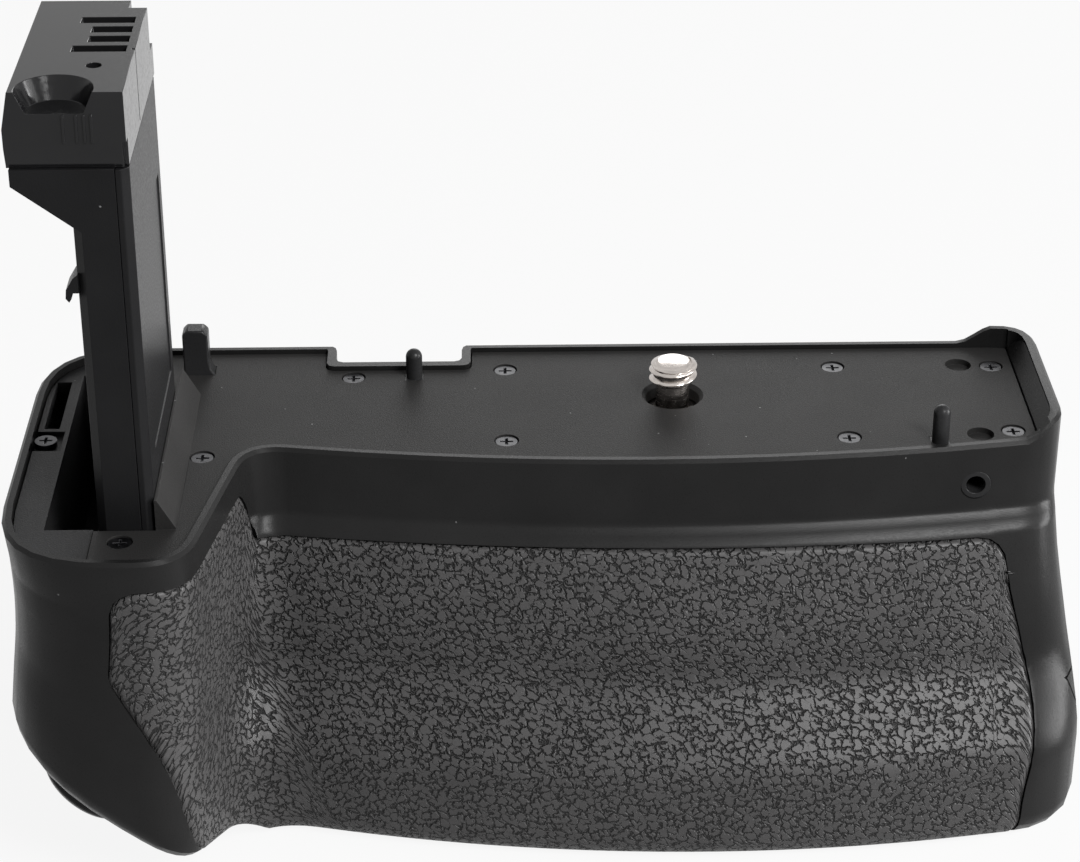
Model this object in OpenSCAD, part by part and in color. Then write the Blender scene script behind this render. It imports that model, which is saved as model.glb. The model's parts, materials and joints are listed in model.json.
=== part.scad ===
// Vertical battery grip for a camera: a moulded housing with a hand lobe and a
// rubber-covered belly, a camera seat with a captive tripod screw, a contact tower
// that fills the camera's own battery well, and a sliding tray for two cells.
// Millimetres, +Z up. The origin is on the axis of the camera screw, in the plane of
// the camera seat. X runs along the seat, -Y is the side where the fingers close.

/* [Camera seat] */
// Screw axis to the straight rear edge
seat_rear = 14.4; // [13:0.1:16]
// Screw axis to the front edge, at the middle of its bow
seat_front = 19.1; // [19:0.1:22]
// Screw axis to the left end of the rim
seat_left = 84.4; // [83:0.2:90]
// Front of the hand lobe, from the screw axis
lobe_front = 43.5; // [42.5:0.5:48]
// Right side of the hand lobe, at its front
lobe_right = 61; // [60:0.2:62]
// Inner corner between lobe and front edge, in X
corner_x = 55.3; // [54.5:0.1:56]
// Inner corner between lobe and front edge, in Y
corner_y = 14.3; // [13.8:0.1:14.8]
// Thickness of the seat plate
plate_t = 2; // [1.6:0.1:2.4]
// Height of the rim over the seat plate
rim_h = 0.6; // [0.4:0.1:1]
// Width of the rim round the seat plate
rim_w = 1.2; // [1:0.1:1.6]
// Height of the raised lip round the right end
lip_h = 2.9; // [1.5:0.1:4]
// Thickness of that lip
lip_t = 3.2; // [2.4:0.1:4]
// Depth of the notch in the rear edge
notch_d = 5.2; // [4.6:0.1:5.6]
// Width of the notch in the rear edge
notch_w = 17; // [14:0.5:19]

/* [Housing] */
// Depth of the housing below the seat
body_h = 52; // [50:0.5:60]
// Depth at which the ledge under the plain band starts
ledge_z = 8.3; // [8:0.1:10]
// How far the ledge steps out
ledge_out = 2.4; // [1.5:0.1:3.5]
// How far the panel swells between ledge and ridge
slope_out = 3.6; // [2:0.1:5]
// Depth at which the ridge starts
ridge_z = 27; // [25:0.5:30]
// How far the ridge steps out
ridge_out = 8.1; // [6:0.1:9]
// How far the finger groove beside the lobe moves out at the belly
groove_out = 10.8; // [10:0.1:11.4]
// How far the right end flares out at the belly
end_flare = 4; // [3:0.1:5]
// How far the left end flares out at the belly
left_flare = 0.6; // [0:0.1:1.5]
// How far the left end draws in between rim and belly
left_waist = 1; // [0:0.1:1.4]
// Depth at which the sloped shutter face leaves the left end
slope_top = 28.6; // [27.6:0.1:29.4]
// Angle of the sloped shutter face to the level
slope_a = 37.3; // [35.5:0.1:38.5]
// Radius of the bottom edge
bottom_r = 4; // [3:0.5:5]
// Wall of the housing
wall = 2.2; // [1.8:0.1:2.4]

/* [Grip rubber] */
// Thickness of the rubber panel
skin_t = 1; // [0.8:0.1:1.4]
// X of the panel's right edge at its widest, on the ridge
skin_right = 46.2; // [44:0.2:47]
// X of the panel's left edge at the top of the lobe
skin_left = 71.8; // [70:0.2:73]

/* [Contact tower] */
// Height of the tower over the seat
tower_h = 57; // [50:0.5:62]
// Screw axis to the right face of the tower
tower_right = 65.2; // [65:0.1:65.6]
// Screw axis to the front face of the tower
tower_front = 34.2; // [33.8:0.1:34.8]
// Depth of the tower from front to back
tower_d = 30; // [27:0.5:32]
// Thickness of the stem
stem_t = 7; // [6.8:0.1:7.4]
// Overhang of the head to the left of the stem
head_over = 7; // [5:0.1:8]
// Height of the glossy head block
head_h = 9.5; // [8.5:0.1:12]
// Wall of the hollow stem
stem_wall = 1.3; // [1:0.1:1.6]
// Thickness of the stem's side cover
cover_t = 1.6; // [1.2:0.1:2]

/* [Door pocket] */
// Width of the pocket that takes the camera's opened battery door
pocket_w = 5.6; // [5:0.1:5.8]
// Length of the pocket
pocket_l = 41.4; // [36:0.2:42]
// Depth of the pocket
pocket_deep = 18; // [12:0.5:18.5]
// Wall of the pocket liner
liner_t = 0.9; // [0.7:0.1:1.2]

/* [Camera screw] */
// Thread diameter of the camera screw
stud_d = 6.35; // [6:0.05:6.6]
// Height of the screw over the seat
stud_h = 5.1; // [4:0.1:6]
// Hole in the seat plate round the screw
screw_hole_d = 7.2; // [7.1:0.1:8]
// How far the screw sinks against its spring
screw_float = 4.4; // [3:0.1:4.6]
// How far the thumbwheel stands out of the rear wall
wheel_proud = 1.5; // [1:0.1:2.5]
// Thickness of the thumbwheel
wheel_t = 5.5; // [5:0.1:6.5]
// Width of the slot that shows the thumbwheel
window_w = 22; // [18:0.5:24]
// Diameter of the tapped hole in the tripod bush
tripod_d = 5.2; // [5:0.05:6.35]
// Length of the tapped hole in the tripod bush
tripod_l = 4.6; // [4:0.1:4.8]

/* [Cells and tray] */
// Length of one cell
cell_l = 44; // [42:0.2:44.6]
// Width of one cell
cell_w = 29; // [26:0.2:29.4]
// Thickness of one cell
cell_t = 12.4; // [10:0.1:12.8]
// Wall of the tray
tray_wall = 1.4; // [1:0.1:1.8]
// Divider between the two cells
tray_div = 2; // [1.6:0.1:3]
// Left end of the tray, from the screw axis
tray_left = 45.8; // [43:0.2:46.4]
// Thickness of the tray's end cap
cap_t = 2.8; // [2.4:0.1:3.4]
// Room for the lock behind the end cap
lock_room = 3.4; // [3:0.1:4]
// Floor of the housing under the tray
base_t = 5.6; // [5.5:0.1:6]
// How far the tray pulls out
tray_travel = 96; // [60:1:110]
// Diameter of the lock's turn key
key_d = 12.6; // [10:0.2:13]

/* [Shutter release and power switch] */
// Distance of the button's axis from the left end, along X
button_x = 9.9; // [9.6:0.1:10.6]
// Distance of the button's axis in front of the screw axis
button_y = 33; // [32.4:0.1:34]
// Diameter of the raised collar
collar_d = 14; // [13.2:0.1:14.4]
// Height of the collar over the sloped face
collar_h = 2.4; // [1.5:0.1:3]
// Diameter of the shutter button
button_d = 9.2; // [8:0.1:9.6]
// Travel of the shutter button
button_travel = 1.2; // [0.6:0.1:1.4]
// Travel of the power switch
power_travel = 3; // [2:0.1:4]

/* [Remote jack] */
// Bore of the jack
jack_d = 2.5; // [2.3:0.05:3.5]
// Outer diameter of the jack's sleeve
jack_ring_d = 3.9; // [3.7:0.05:5]
// Depth of the jack's bore
jack_l = 11; // [9:0.1:12]
// Distance of the jack's axis below the seat
jack_z = 5.2; // [4.9:0.1:5.8]

/* [Hidden] */
$fn = 48;

// Clearances that the fits share
seat_gap = 0.15;
slide_gap = 0.35;
run_gap = 0.05;
cell_gap = 0.3;
over = 1;
far = 200;

// Tray and bay, worked out from the cells
tray_x0 = -tray_left;
tray_x1 = tray_x0 + 2 * tray_wall + 2 * (cell_l + cell_gap) + tray_div;
cap_x0 = tray_x1 + lock_room;
belly_right = cap_x0 + cap_t;
rim_right = belly_right - end_flare;
tray_w = cell_w + cell_gap + 2 * tray_wall;
tray_h = tray_wall + cell_t + cell_gap;
tray_y1 = seat_rear - wall - slide_gap;
tray_y0 = tray_y1 - tray_w;
tray_z0 = -body_h + base_t;
tray_z1 = tray_z0 + tray_h;
bay_z1 = tray_z1 + slide_gap;
deck_t = 2.2;
deck_z = bay_z1 + deck_t;

// Thumbwheel and captive screw, stacked downwards from the seat plate
wheel_r = seat_rear + wheel_proud;
wheel_z1 = -plate_t - 2.8;
wheel_z0 = wheel_z1 - wheel_t;
flange_r = screw_hole_d / 2 + 1.1;
flange_t = 1.2;
flange_z = -plate_t - 0.2;
hex_d = 6;
cup_r = flange_r + 0.3;
cup_floor = flange_z - flange_t - screw_float - 1.6;
hub_r = cup_r + 1.4;
hub_z0 = min(wheel_z0, cup_floor - 1) - 0.6;
spindle_r = 4.5;
bridge_t = 2;
bridge_z1 = hub_z0 - 0.2;
bridge_x = 22.15;
bridge_y = [7.75, -12.25];
bridge_post_r = 2.7;

// Tower
tower_x1 = -tower_right;
stem_x0 = tower_x1 - stem_t;
cover_x0 = tower_x1 - cover_t;
tower_y0 = -tower_front;
tower_y1 = tower_y0 + tower_d;
head_z0 = tower_h - head_h;
flange_under = 2.3;

// Pocket beside the tower
split_x = stem_x0 - 0.5;
pocket_x1 = stem_x0 - 0.2 - liner_t;
pocket_x0 = pocket_x1 - pocket_w;
pocket_y0 = tower_y0 + 1;
pocket_y1 = pocket_y0 + pocket_l;
frame_drop = 0.5;

// Fasteners: head, shank and the seat of a small cross-head screw
head_d = 2.9;
shank_d = 1.5;
head_t = 0.8;
screw_l = 6;
recess_d = 3.2;
recess_deep = 1;
end_screw_x = rim_right - lip_t - 3;
post_screws = [[-42.5, 5.85], [end_screw_x, 7.5], [end_screw_x, -10.9]];
lobe_screws = [[stem_x0 + stem_t + 4.2, -15.9], [tower_x1 - 4, tower_y0 - 2.9]];
bridge_screws = [for (x = [-bridge_x, bridge_x], y = bridge_y) [x, y]];
frame_screw = [-seat_left + rim_w + head_d / 2 + 0.1, -10.4];
frame_slot_x = -seat_left + rim_w + 0.9;
seat_screws = concat(post_screws, lobe_screws, bridge_screws);
dimples = [[end_screw_x - 4.4, 7.9], [end_screw_x - 4.4, -11.8]];
rear_pin = [-34.35, 6];
front_pin = [33.7, -13.6];

// Remote jack, pierced through the plain band
jack_x = end_screw_x - 5.3;

// Sloped shutter face
left_x = -seat_left - left_flare;
button_at = [left_x + button_x, -button_y, -slope_top - button_x * tan(slope_a)];
button_flange = 0.9;
collar_sink = 2;
button_rest = 0.15;
switch_h = 3.2;
well_deep = collar_sink + 7;

function mix(a, b, t) = a + (b - a) * t;
function unit(v) = v / norm(v);
function clamp(t) = min(1, max(0, t));
function smooth(t) = let(u = clamp(t)) u * u * (3 - 2 * u);
function turned(list) = [for (i = [len(list) - 1:-1:0]) list[i]];

// One rounded corner of an outline: it leaves both legs at the length d from the corner
function bend(p0, p1, p2, d, n) =
    let(a = p1 + unit(p0 - p1) * d, b = p1 + unit(p2 - p1) * d)
    [for (i = [0:n]) let(t = i / n) (1 - t) * (1 - t) * a + 2 * t * (1 - t) * p1 + t * t * b];

// Outlines of the rim and of the belly, as corners from the left rear round to the right rear
steps_end = 7;
steps_lobe = 6;
steps_bow = 12;
steps_right = 5;
bow_x = (rim_right - corner_x) / 2 - 1;
bow_gain = 1.8;
bow_y = corner_y + (seat_front - corner_y) * bow_gain;
bow_d = min(bow_x + corner_x, rim_right - bow_x) - 7;
belly_out = ledge_out + slope_out + ridge_out;
lobe_out = 0.9;
rim_corners = [[-seat_left, seat_rear], [-seat_left, -lobe_front], [-lobe_right, -lobe_front],
    [-corner_x, -corner_y], [bow_x, -bow_y], [rim_right, -corner_y], [rim_right, seat_rear]];
rim_rounds = [13, 15, 6, 5, bow_d, 5, 5.5];
belly_corners = [[left_x, seat_rear], [left_x, -lobe_front - lobe_out],
    [-lobe_right - 1.9, -lobe_front - lobe_out], [-corner_x - 0.5, -corner_y - groove_out],
    [bow_x, -bow_y - belly_out - 0.4], [belly_right, -corner_y - belly_out], [belly_right, seat_rear]];
belly_rounds = [13, 14, 5.5, 8, bow_d - 2, 10.4, 4];

function leg(a, b, n) = [for (i = [1:n]) mix(a, b, i / (n + 1))];
function front_path(c, d) =
    let(bow = bend(c[3], c[4], c[5], d[4], steps_bow), right = bend(c[4], c[5], c[6], d[5], steps_right))
    concat(bend(c[0], c[1], c[2], d[1], steps_end), bend(c[1], c[2], c[3], d[2], steps_lobe),
        bend(c[2], c[3], c[4], d[3], steps_lobe), bow, leg(bow[steps_bow], right[0], 3), right);
function rear_path(c, d, front) =
    let(a = bend(c[1], c[0], c[6], d[0], steps_end), b = bend(c[0], c[6], c[5], d[6], steps_right),
        i0 = steps_end + 1, i1 = len(front) - steps_right - 2,
        x0 = front[i0][0] - over, x1 = front[i1][0] + over)
    concat(a, [for (i = [i0:i1])
        [mix(a[steps_end][0], b[0][0], (front[i][0] - x0) / (x1 - x0)), c[0][1]]], b);
function inward(path, side) = [for (i = [0:len(path) - 1])
    let(v = unit(path[min(i + 1, len(path) - 1)] - path[max(i - 1, 0)])) side * [-v[1], v[0]]];

rim_front = front_path(rim_corners, rim_rounds);
rim_rear = rear_path(rim_corners, rim_rounds, rim_front);
belly_front = front_path(belly_corners, belly_rounds);
belly_rear = rear_path(belly_corners, belly_rounds, belly_front);
front_in = inward(belly_front, 1);
rear_in = inward(belly_rear, -1);
rim_front_in = inward(rim_front, 1);
rim_rear_in = inward(rim_rear, -1);

// Depth of the underside: level, and sloped under the hand lobe
function floor_depth(x) = min(body_h, slope_top + max(0, x - left_x) * tan(slope_a));

// Share of the way from the rim outline to the belly outline at a depth: Y steps, X flares
ledge_run = 3.1;
ridge_run = 13;
wall_depth = body_h - bottom_r;
swell_z = ledge_z + ledge_run;
function step_out(d) = (ledge_out * smooth((d - ledge_z) / ledge_run)
    + slope_out * sin(90 * clamp((d - swell_z) / (ridge_z - swell_z)))
    + ridge_out * smooth((d - ridge_z) / ridge_run)) / belly_out;
function flare_out(d) = smooth((d - ledge_z) / (wall_depth - ledge_z - 8));
function waist_in(x, d) = left_waist * sin(180 * clamp(d / wall_depth)) * smooth((-lobe_right - 6 - x) / 12);

// A point of the outer wall: depth down to wall_depth, then round the bottom edge
function wall_point(rim, belly, in, d) =
    let(turn = 90 * clamp((d - wall_depth) / bottom_r), p = belly + in * bottom_r * (1 - cos(turn)),
        k = (floor_depth(belly[0]) - bottom_r) / wall_depth)
    d <= wall_depth ? [mix(rim[0], belly[0], flare_out(d)) + waist_in(rim[0], d),
        mix(rim[1], belly[1], step_out(d)), -d * k] :
    [p[0], p[1], -floor_depth(p[0]) + bottom_r * (1 - sin(turn))];

// Depths at which the housing is drawn
edge_r = 0.45;
depths = concat([3], [for (i = [0:4]) ledge_z + ledge_run * i / 4],
    [for (i = [1:4]) mix(swell_z, ridge_z, i / 4)], [for (i = [1:6]) ridge_z + ridge_run * i / 6],
    [wall_depth], [for (i = [1:4]) wall_depth + bottom_r * i / 4]);
// The rim ramps up to the raised lip near the right end, later at the front than at the rear
function rim_top(p) = mix(rim_h, lip_h, p[1] < 0 ? smooth((p[0] - rim_right + 4.8) / 4)
    : smooth((p[0] - rim_right + 10) / 4.9));
function half_section(rim, belly, in) = let(z = rim_top(rim)) concat(
    [[each rim + in * edge_r, z], [each rim, z - edge_r]],
    [for (d = depths) wall_point(rim, belly, in, d)]);
function section(i) = concat(half_section(rim_front[i], belly_front[i], front_in[i]),
    turned(half_section(rim_rear[i], belly_rear[i], rear_in[i])));

// The outer form of the housing: sections strung from the left end to the right end
module housing() {
    rows = [for (i = [0:len(rim_front) - 1]) section(i)];
    n = len(rows);
    m = len(rows[0]);
    sides = [for (i = [0:n - 2], j = [0:m - 1]) let(a = i * m + j, b = i * m + (j + 1) % m)
        each [[a, b + m, b], [a, a + m, b + m]]];
    left = [for (j = [0:m / 2 - 2]) each [[j, j + 1, m - 2 - j], [j, m - 2 - j, m - 1 - j]]];
    right = [for (f = left) turned(f) + (n - 1) * m * [1, 1, 1]];
    polyhedron([for (row = rows, p = row) p], concat(sides, left, right));
}

// The rubber panel follows the same wall. It is laid out by length along the belly outline.
path_n = len(belly_front);
path_len = [for (i = 0, s = 0; i < path_n; s = s + (i < path_n - 1 ? norm(belly_front[i + 1] - belly_front[i]) : 0),
    i = i + 1) s];
function along(list, axis, s) = lookup(s, [for (i = [0:path_n - 1]) [path_len[i], list[i][axis]]]);
function length_at(x) = lookup(x, [for (i = [1:path_n - 1]) [belly_front[i][0], path_len[i]]]);
function panel_wall(s, d) = wall_point([along(rim_front, 0, s), along(rim_front, 1, s)],
    [along(belly_front, 0, s), along(belly_front, 1, s)],
    [along(front_in, 0, s), along(front_in, 1, s)], d);

panel_nw = 13;
panel_nv = panel_nw + 4;
panel_round = 4.6;
panel_lobe_top = 4.5;
panel_sag = 0.7;
panel_gap = 0.12;
// How far the side edges have moved in from their widest place, by depth
function left_in(d) = 8.6 * smooth((d - ridge_z + 6) / 20.5) + 2.2 * clamp((d - ridge_z - 14) / 11);
function right_in(d) = 5.2 * (1 - smooth((d - ridge_z + 14) / 21)) + 1.3 * smooth((d - ridge_z - 7) / 13);
function panel_left(j) = length_at(-skin_left
    + left_in(mix(panel_lobe_top + panel_round, wall_depth, j / panel_nw))) - panel_swell(j);
function panel_right(j) = length_at(skin_right
    - right_in(mix(swell_z + panel_round, wall_depth, j / panel_nw))) + panel_swell(j);
function panel_swell(j) = panel_sag * sin(180 * j / panel_nv) / 2;
panel_s0 = panel_left(0);
panel_s2 = panel_right(0);
// Columns of the panel: close together round its upper corners and on the flank of the lobe
panel_tip = length_at(-corner_x - 3.6);
panel_drop = length_at(-corner_x + 0.8);
panel_turns = [0, 30, 50, 70];
panel_cols = 16;
panel_stops = concat([for (a = panel_turns) panel_s0 + panel_round * (1 - cos(a))],
    [for (i = [0:5]) mix(panel_s0 + panel_round, panel_tip, i / 6)],
    [for (i = [0:4]) mix(panel_tip, panel_drop, i / 5)],
    [for (i = [0:panel_cols]) mix(panel_drop, panel_s2 - panel_round, i / panel_cols)],
    [for (a = turned(panel_turns)) panel_s2 - panel_round * (1 - cos(a))]);
panel_nu = len(panel_stops) - 1;
// The upper edge runs under the ledge, climbs the lobe's flank and rounds off at both ends
function panel_top(s, grow) =
    let(x = along(belly_front, 0, s), end = min(panel_s2 - s, s - panel_s0) + grow,
        q = clamp(1 - end / panel_round), flank = smooth((-x - corner_x + 0.8) / 4.4))
    mix(swell_z + 0.3, panel_lobe_top, flank) - grow + panel_round * (1 - sqrt(1 - q * q)) - panel_bow(s);
function panel_bow(s) = panel_sag * sin(180 * clamp((s - panel_s0) / (panel_s2 - panel_s0)));
function panel_point(i, j, lift, grow) =
    let(share = (panel_stops[i] - panel_s0) / (panel_s2 - panel_s0),
        s = mix(panel_left(j) - grow, panel_right(j) + grow, share),
        low = bottom_r * 0.62 + panel_bow(s) + grow, e = 0.4,
        d = j < panel_nw ? mix(panel_top(s, grow), wall_depth, j / panel_nw)
            : wall_depth + low * (j - panel_nw) / (panel_nv - panel_nw),
        p = panel_wall(s, d), pu = panel_wall(s + e, d) - panel_wall(s - e, d),
        pv = panel_wall(s, d + e / 2) - panel_wall(s, d - e / 2))
    p + unit(cross(pv, pu)) * lift;
module panel(outer, inner, grow) {
    w = panel_nu + 1;
    h = panel_nv + 1;
    half = w * h;
    points = [for (lift = [outer, -inner], j = [0:panel_nv], i = [0:panel_nu])
        panel_point(i, j, lift, grow)];
    skins = [for (j = [0:panel_nv - 1], i = [0:panel_nu - 1]) let(a = j * w + i)
        each [[a, a + 1, a + w + 1], [a, a + w + 1, a + w],
            [half + a, half + a + w + 1, half + a + 1], [half + a, half + a + w, half + a + w + 1]]];
    rim = concat([for (i = [0:panel_nu]) i], [for (j = [1:panel_nv]) j * w + panel_nu],
        [for (i = [panel_nu - 1:-1:0]) panel_nv * w + i], [for (j = [panel_nv - 1:-1:1]) j * w]);
    edges = [for (k = [0:len(rim) - 1]) let(a = rim[k], b = rim[(k + 1) % len(rim)])
        each [[a, half + a, half + b], [a, half + b, b]]];
    polyhedron(points, concat(skins, edges));
}

// Plan of the seat inside the rim: the outline moved in, less the rear notch, up to the lip
notch_x = -36.5;
notch_deep = 6;
module notch_plan(grow) {
    x0 = notch_w / 2 + grow;
    y1 = seat_rear - notch_d - grow;
    side = [[x0, y1 + 1], [x0, seat_rear - 1.8], [x0 + 0.2, seat_rear - 0.9], [x0 + 0.75, seat_rear - 0.3],
        [x0 + 1.6, seat_rear + 0.5]];
    foot = [[x0 - 1, y1], [x0 - 0.3, y1 + 0.3]];
    half = concat(foot, side);
    translate([notch_x, 0]) polygon(concat(half, turned([for (q = half) [-q[0], q[1]]])));
}
module rim_plan(inset) {
    n = len(rim_front) - 1;
    polygon(concat([for (i = [0:n]) rim_front[i] + rim_front_in[i] * inset],
        turned([for (i = [0:n]) rim_rear[i] + rim_rear_in[i] * inset])));
}
module seat_plan(inset) {
    intersection() {
        difference() {
            rim_plan(inset);
            notch_plan(inset);
        }
        translate([-far, -far]) square([far + rim_right - lip_t - max(0, inset - rim_w), 2 * far]);
    }
}
module box(x0, x1, y0, y1, z0, z1) {
    translate([x0, y0, z0]) cube([x1 - x0, y1 - y0, z1 - z0]);
}
module rod(r, z0, z1) {
    translate([0, 0, z0]) cylinder(r = r, h = z1 - z0);
}
// A profile in X and Z, drawn from y0 to y1
module slab_y(y0, y1, points) {
    translate([0, y1, 0]) rotate([90, 0, 0]) linear_extrude(y1 - y0) polygon(points);
}
module on_button() {
    translate(button_at) rotate([0, 180 + slope_a, 0]) children();
}
module cross_screw() {
    difference() {
        union() {
            rod(head_d / 2, -head_t, 0);
            rod(shank_d / 2, -head_t - screw_l, -head_t);
        }
        for (a = [0, 90]) rotate(a) box(-0.85, 0.85, -0.16, 0.16, -0.45, over);
    }
}
// One unbroken wire, wound at a steady pitch
module coil(r, wire_d, turns, z0, z1) {
    sides = 6;
    per_turn = 12;
    n = round(turns * per_turn);
    rise = (z1 - z0 - wire_d) / n;
    points = [for (i = [0:n], k = [0:sides - 1]) let(a = 360 * i / per_turn, b = 360 * k / sides)
        [cos(a) * (r + cos(b) * wire_d / 2), sin(a) * (r + cos(b) * wire_d / 2),
            z0 + wire_d / 2 + rise * i + sin(b) * wire_d / 2]];
    walls = [for (i = [0:n - 1], k = [0:sides - 1]) let(a = i * sides + k, b = i * sides + (k + 1) % sides)
        each [[a, b, b + sides], [a, b + sides, a + sides]]];
    ends = [[for (k = [sides - 1:-1:0]) k], [for (k = [0:sides - 1]) n * sides + k]];
    polyhedron(points, [for (f = concat(walls, ends)) turned(f)]);
}

// A post for a seat screw, with two ribs down to the deck
module seat_post(at) {
    r = 2.6;
    translate(at) {
        hull() {
            rod(r, deck_z - 0.2, deck_z);
            rod(r - 0.3, -plate_t - 0.2, -plate_t);
        }
        for (a = [0, 90]) rotate(a) hull() {
            box(-0.5, 0.5, -0.5, 0.5, -plate_t - 3, -plate_t - 2.8);
            box(-r - 2, r + 2, -0.5, 0.5, deck_z - 0.2, deck_z);
        }
    }
}
module pilot(at) {
    translate(at) rod(shank_d / 2 + 0.1, -plate_t - screw_l, over);
}

cavity_left = -tower_x1 - 7.2;
lobe_x0 = pocket_x0 - liner_t - 0.3;
lobe_x1 = tower_x1 + 1.3;
power_x = -53;
power_z = -18;
board_x0 = rim_right - lip_t - 20;
board_x1 = rim_right - lip_t - 1.6;
board_y = [-9, 9];
board_t = 1.6;
board_z = -jack_z - jack_ring_d / 2 - 1.2;
board_posts = [for (y = [board_y[0] + 4, board_y[1] - 2.6]) [board_x0 + 2.6, y]];
jack_face = lookup(jack_x, [for (i = [1:path_n - 1]) [rim_front[i][0], rim_front[i][1]]]);

module main_case() color("#1c1c1e") difference() {
    union() {
        difference() {
            housing();
            translate([0, 0, -plate_t]) linear_extrude(far) seat_plan(rim_w);
            // The lip slopes down to the seat on its inner side
            intersection() {
                slab_y(-far, far, [[rim_right - lip_t - 0.2, 0.05], [rim_right - 0.9, lip_h + 0.3],
                    [rim_right - lip_t - 0.2, lip_h + 0.3]]);
                translate([0, 0, -over]) linear_extrude(far) rim_plan(rim_w + 0.25);
            }
            // Room under the seat plate for the wheel, the bridge and the board
            translate([0, 0, deck_z]) linear_extrude(-deck_z) intersection() {
                seat_plan(wall + 0.4);
                translate([-cavity_left, -far]) square(2 * far);
            }
            rod(wheel_r + slide_gap, wheel_z0 - 1, -plate_t + over);
            box(-window_w / 2, window_w / 2, 0, seat_rear + over, wheel_z0 - slide_gap, wheel_z1 + slide_gap);
            translate([0, 0, -notch_deep]) linear_extrude(far) notch_plan(0);
            // Well in the hand lobe for the door pocket and the foot of the tower
            box(lobe_x0, lobe_x1, pocket_y0 - liner_t - 1.4, pocket_y1 + liner_t + 0.3,
                -pocket_deep - liner_t - 0.3, -plate_t + over);
            box(lobe_x1 - over, -cavity_left + over, -10, -4, -12, -plate_t - 3);
            box(frame_slot_x, lobe_x0 + 0.1, frame_screw[1] + 3.4, pocket_y1 - 2, -6.5, -plate_t + over);
            // Bay of the battery tray, open at the right end
            box(tray_x0 - slide_gap, far, tray_y0 - slide_gap, tray_y1 + slide_gap,
                tray_z0 - slide_gap, bay_z1);
            box(cap_x0 - lock_room, cap_x0, lock_y - 3.4, lock_y + 4.4, bay_z1 - over, bay_z1 + lock_bite + 0.5);
            box(tray_x0 - slide_gap - block_t, tray_x0, block_y - block_w / 2, block_y + block_w / 2,
                tray_z0 + 2, tray_z0 + 2 + block_h);
        }
        for (at = post_screws) seat_post(at);
        for (at = board_posts) translate(at) rod(2.2, deck_z - 0.2, board_z - board_t);
    }
    panel(over, skin_t + panel_gap, panel_gap);
    for (at = concat(post_screws, lobe_screws, [frame_screw])) pilot(at);
    for (at = board_posts) translate(at) rod(shank_d / 2 + 0.1, board_z - board_t - screw_l, board_z);
    translate([jack_x, jack_face - over, -jack_z]) rotate([-90, 0, 0]) cylinder(d = jack_ring_d + 0.1, h = 8);
    rod(tripod_r + run_gap, -body_h - over, -body_h + tripod_l);
    on_button() {
        rod(collar_d / 2 + run_gap, -collar_sink, far);
        rod(button_d / 2 + 1.7, -well_deep, -collar_sink + over);
    }
    // Seat of the power switch in the rear wall
    box(power_x - 5, power_x + 5 + power_travel, seat_rear - 1.2, seat_rear + over, power_z - 3, power_z + 3);
    box(power_x - 5, power_x + 5 + power_travel, seat_rear - 6.4, seat_rear, power_z - 2, power_z + 2);
}

module grip_rubber() color("#26262a") panel(0, skin_t, 0);

// Seat plate, with the raised collar along the tower's right face
collar_x = tower_x1 + 0.06;
collar_w = 2.5;
collar_rise = 4;
module top_plate() color("#2b2b2e") difference() {
    union() {
        translate([0, 0, -plate_t]) linear_extrude(plate_t) intersection() {
            seat_plan(rim_w + seat_gap);
            translate([split_x, -far]) square(2 * far);
        }
        slab_y(tower_y0, tower_y1 + 5.5, [[collar_x, -0.1], [collar_x + collar_w, -0.1],
            [collar_x + collar_w, 0.15], [collar_x + 0.35, collar_rise], [collar_x, collar_rise]]);
    }
    box(split_x - over, collar_x, tower_y0 - 0.2, tower_y1 + 0.2, -plate_t - over, far);
    rod(screw_hole_d / 2, -plate_t - over, over);
    translate([0, 0, -0.5]) cylinder(r1 = screw_hole_d / 2, r2 = screw_hole_d / 2 + 0.6, h = 0.6);
    for (at = seat_screws) translate(at) {
        rod(recess_d / 2, -recess_deep, over);
        rod(shank_d / 2 + 0.15, -plate_t - over, 0);
    }
    for (at = dimples) translate(at) rod(1.75, -0.8, over);
    for (at = [rear_pin, front_pin]) translate(at) pin_foot(0.02, -plate_t - over, over);
    box(post_x - post_w / 2 - 0.05, post_x + post_w / 2 + post_toe + 0.05, post_y - post_t / 2 - 0.05,
        post_y + post_t / 2 + 0.05, -plate_t - over, over);
}

// Frame left of the tower: shelf, screw tab, rear slot and the liner of the door pocket
module pocket_frame() color("#232325") difference() {
    union() {
        translate([0, 0, -plate_t]) linear_extrude(plate_t - frame_drop) intersection() {
            seat_plan(rim_w + seat_gap);
            translate([split_x - seat_gap - far, -far]) square([far, 2 * far]);
        }
        box(pocket_x0 - liner_t, pocket_x1 + liner_t, pocket_y0 - liner_t, pocket_y1 + liner_t,
            -pocket_deep - liner_t, -plate_t - flange_under);
        box(pocket_x0 - liner_t, pocket_x0 + 0.2, pocket_y0 - liner_t, pocket_y1 + liner_t, -pocket_deep, -plate_t + 0.2);
    }
    box(pocket_x0, pocket_x1, pocket_y0, pocket_y1, -pocket_deep, over);
    box(pocket_x1 - over, far, pocket_y0, pocket_y1, -plate_t - flange_under - 0.2, over);
    box(frame_slot_x, pocket_x0 - 1.4, frame_screw[1] + 3.4, pocket_y1 - 2, -plate_t - over, over);
    box(-far, pocket_x0 - 0.6, frame_screw[1] - 2.6, frame_screw[1] + 2.6, -1.2, over);
    translate(frame_screw) rod(shank_d / 2 + 0.15, -plate_t - over, over);
}

module plate_screws() color("#3a3a3d") {
    for (at = seat_screws) translate([at[0], at[1], -recess_deep + head_t + 0.02]) cross_screw();
    translate([frame_screw[0], frame_screw[1], -1.2 + head_t + 0.02]) cross_screw();
}

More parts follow.
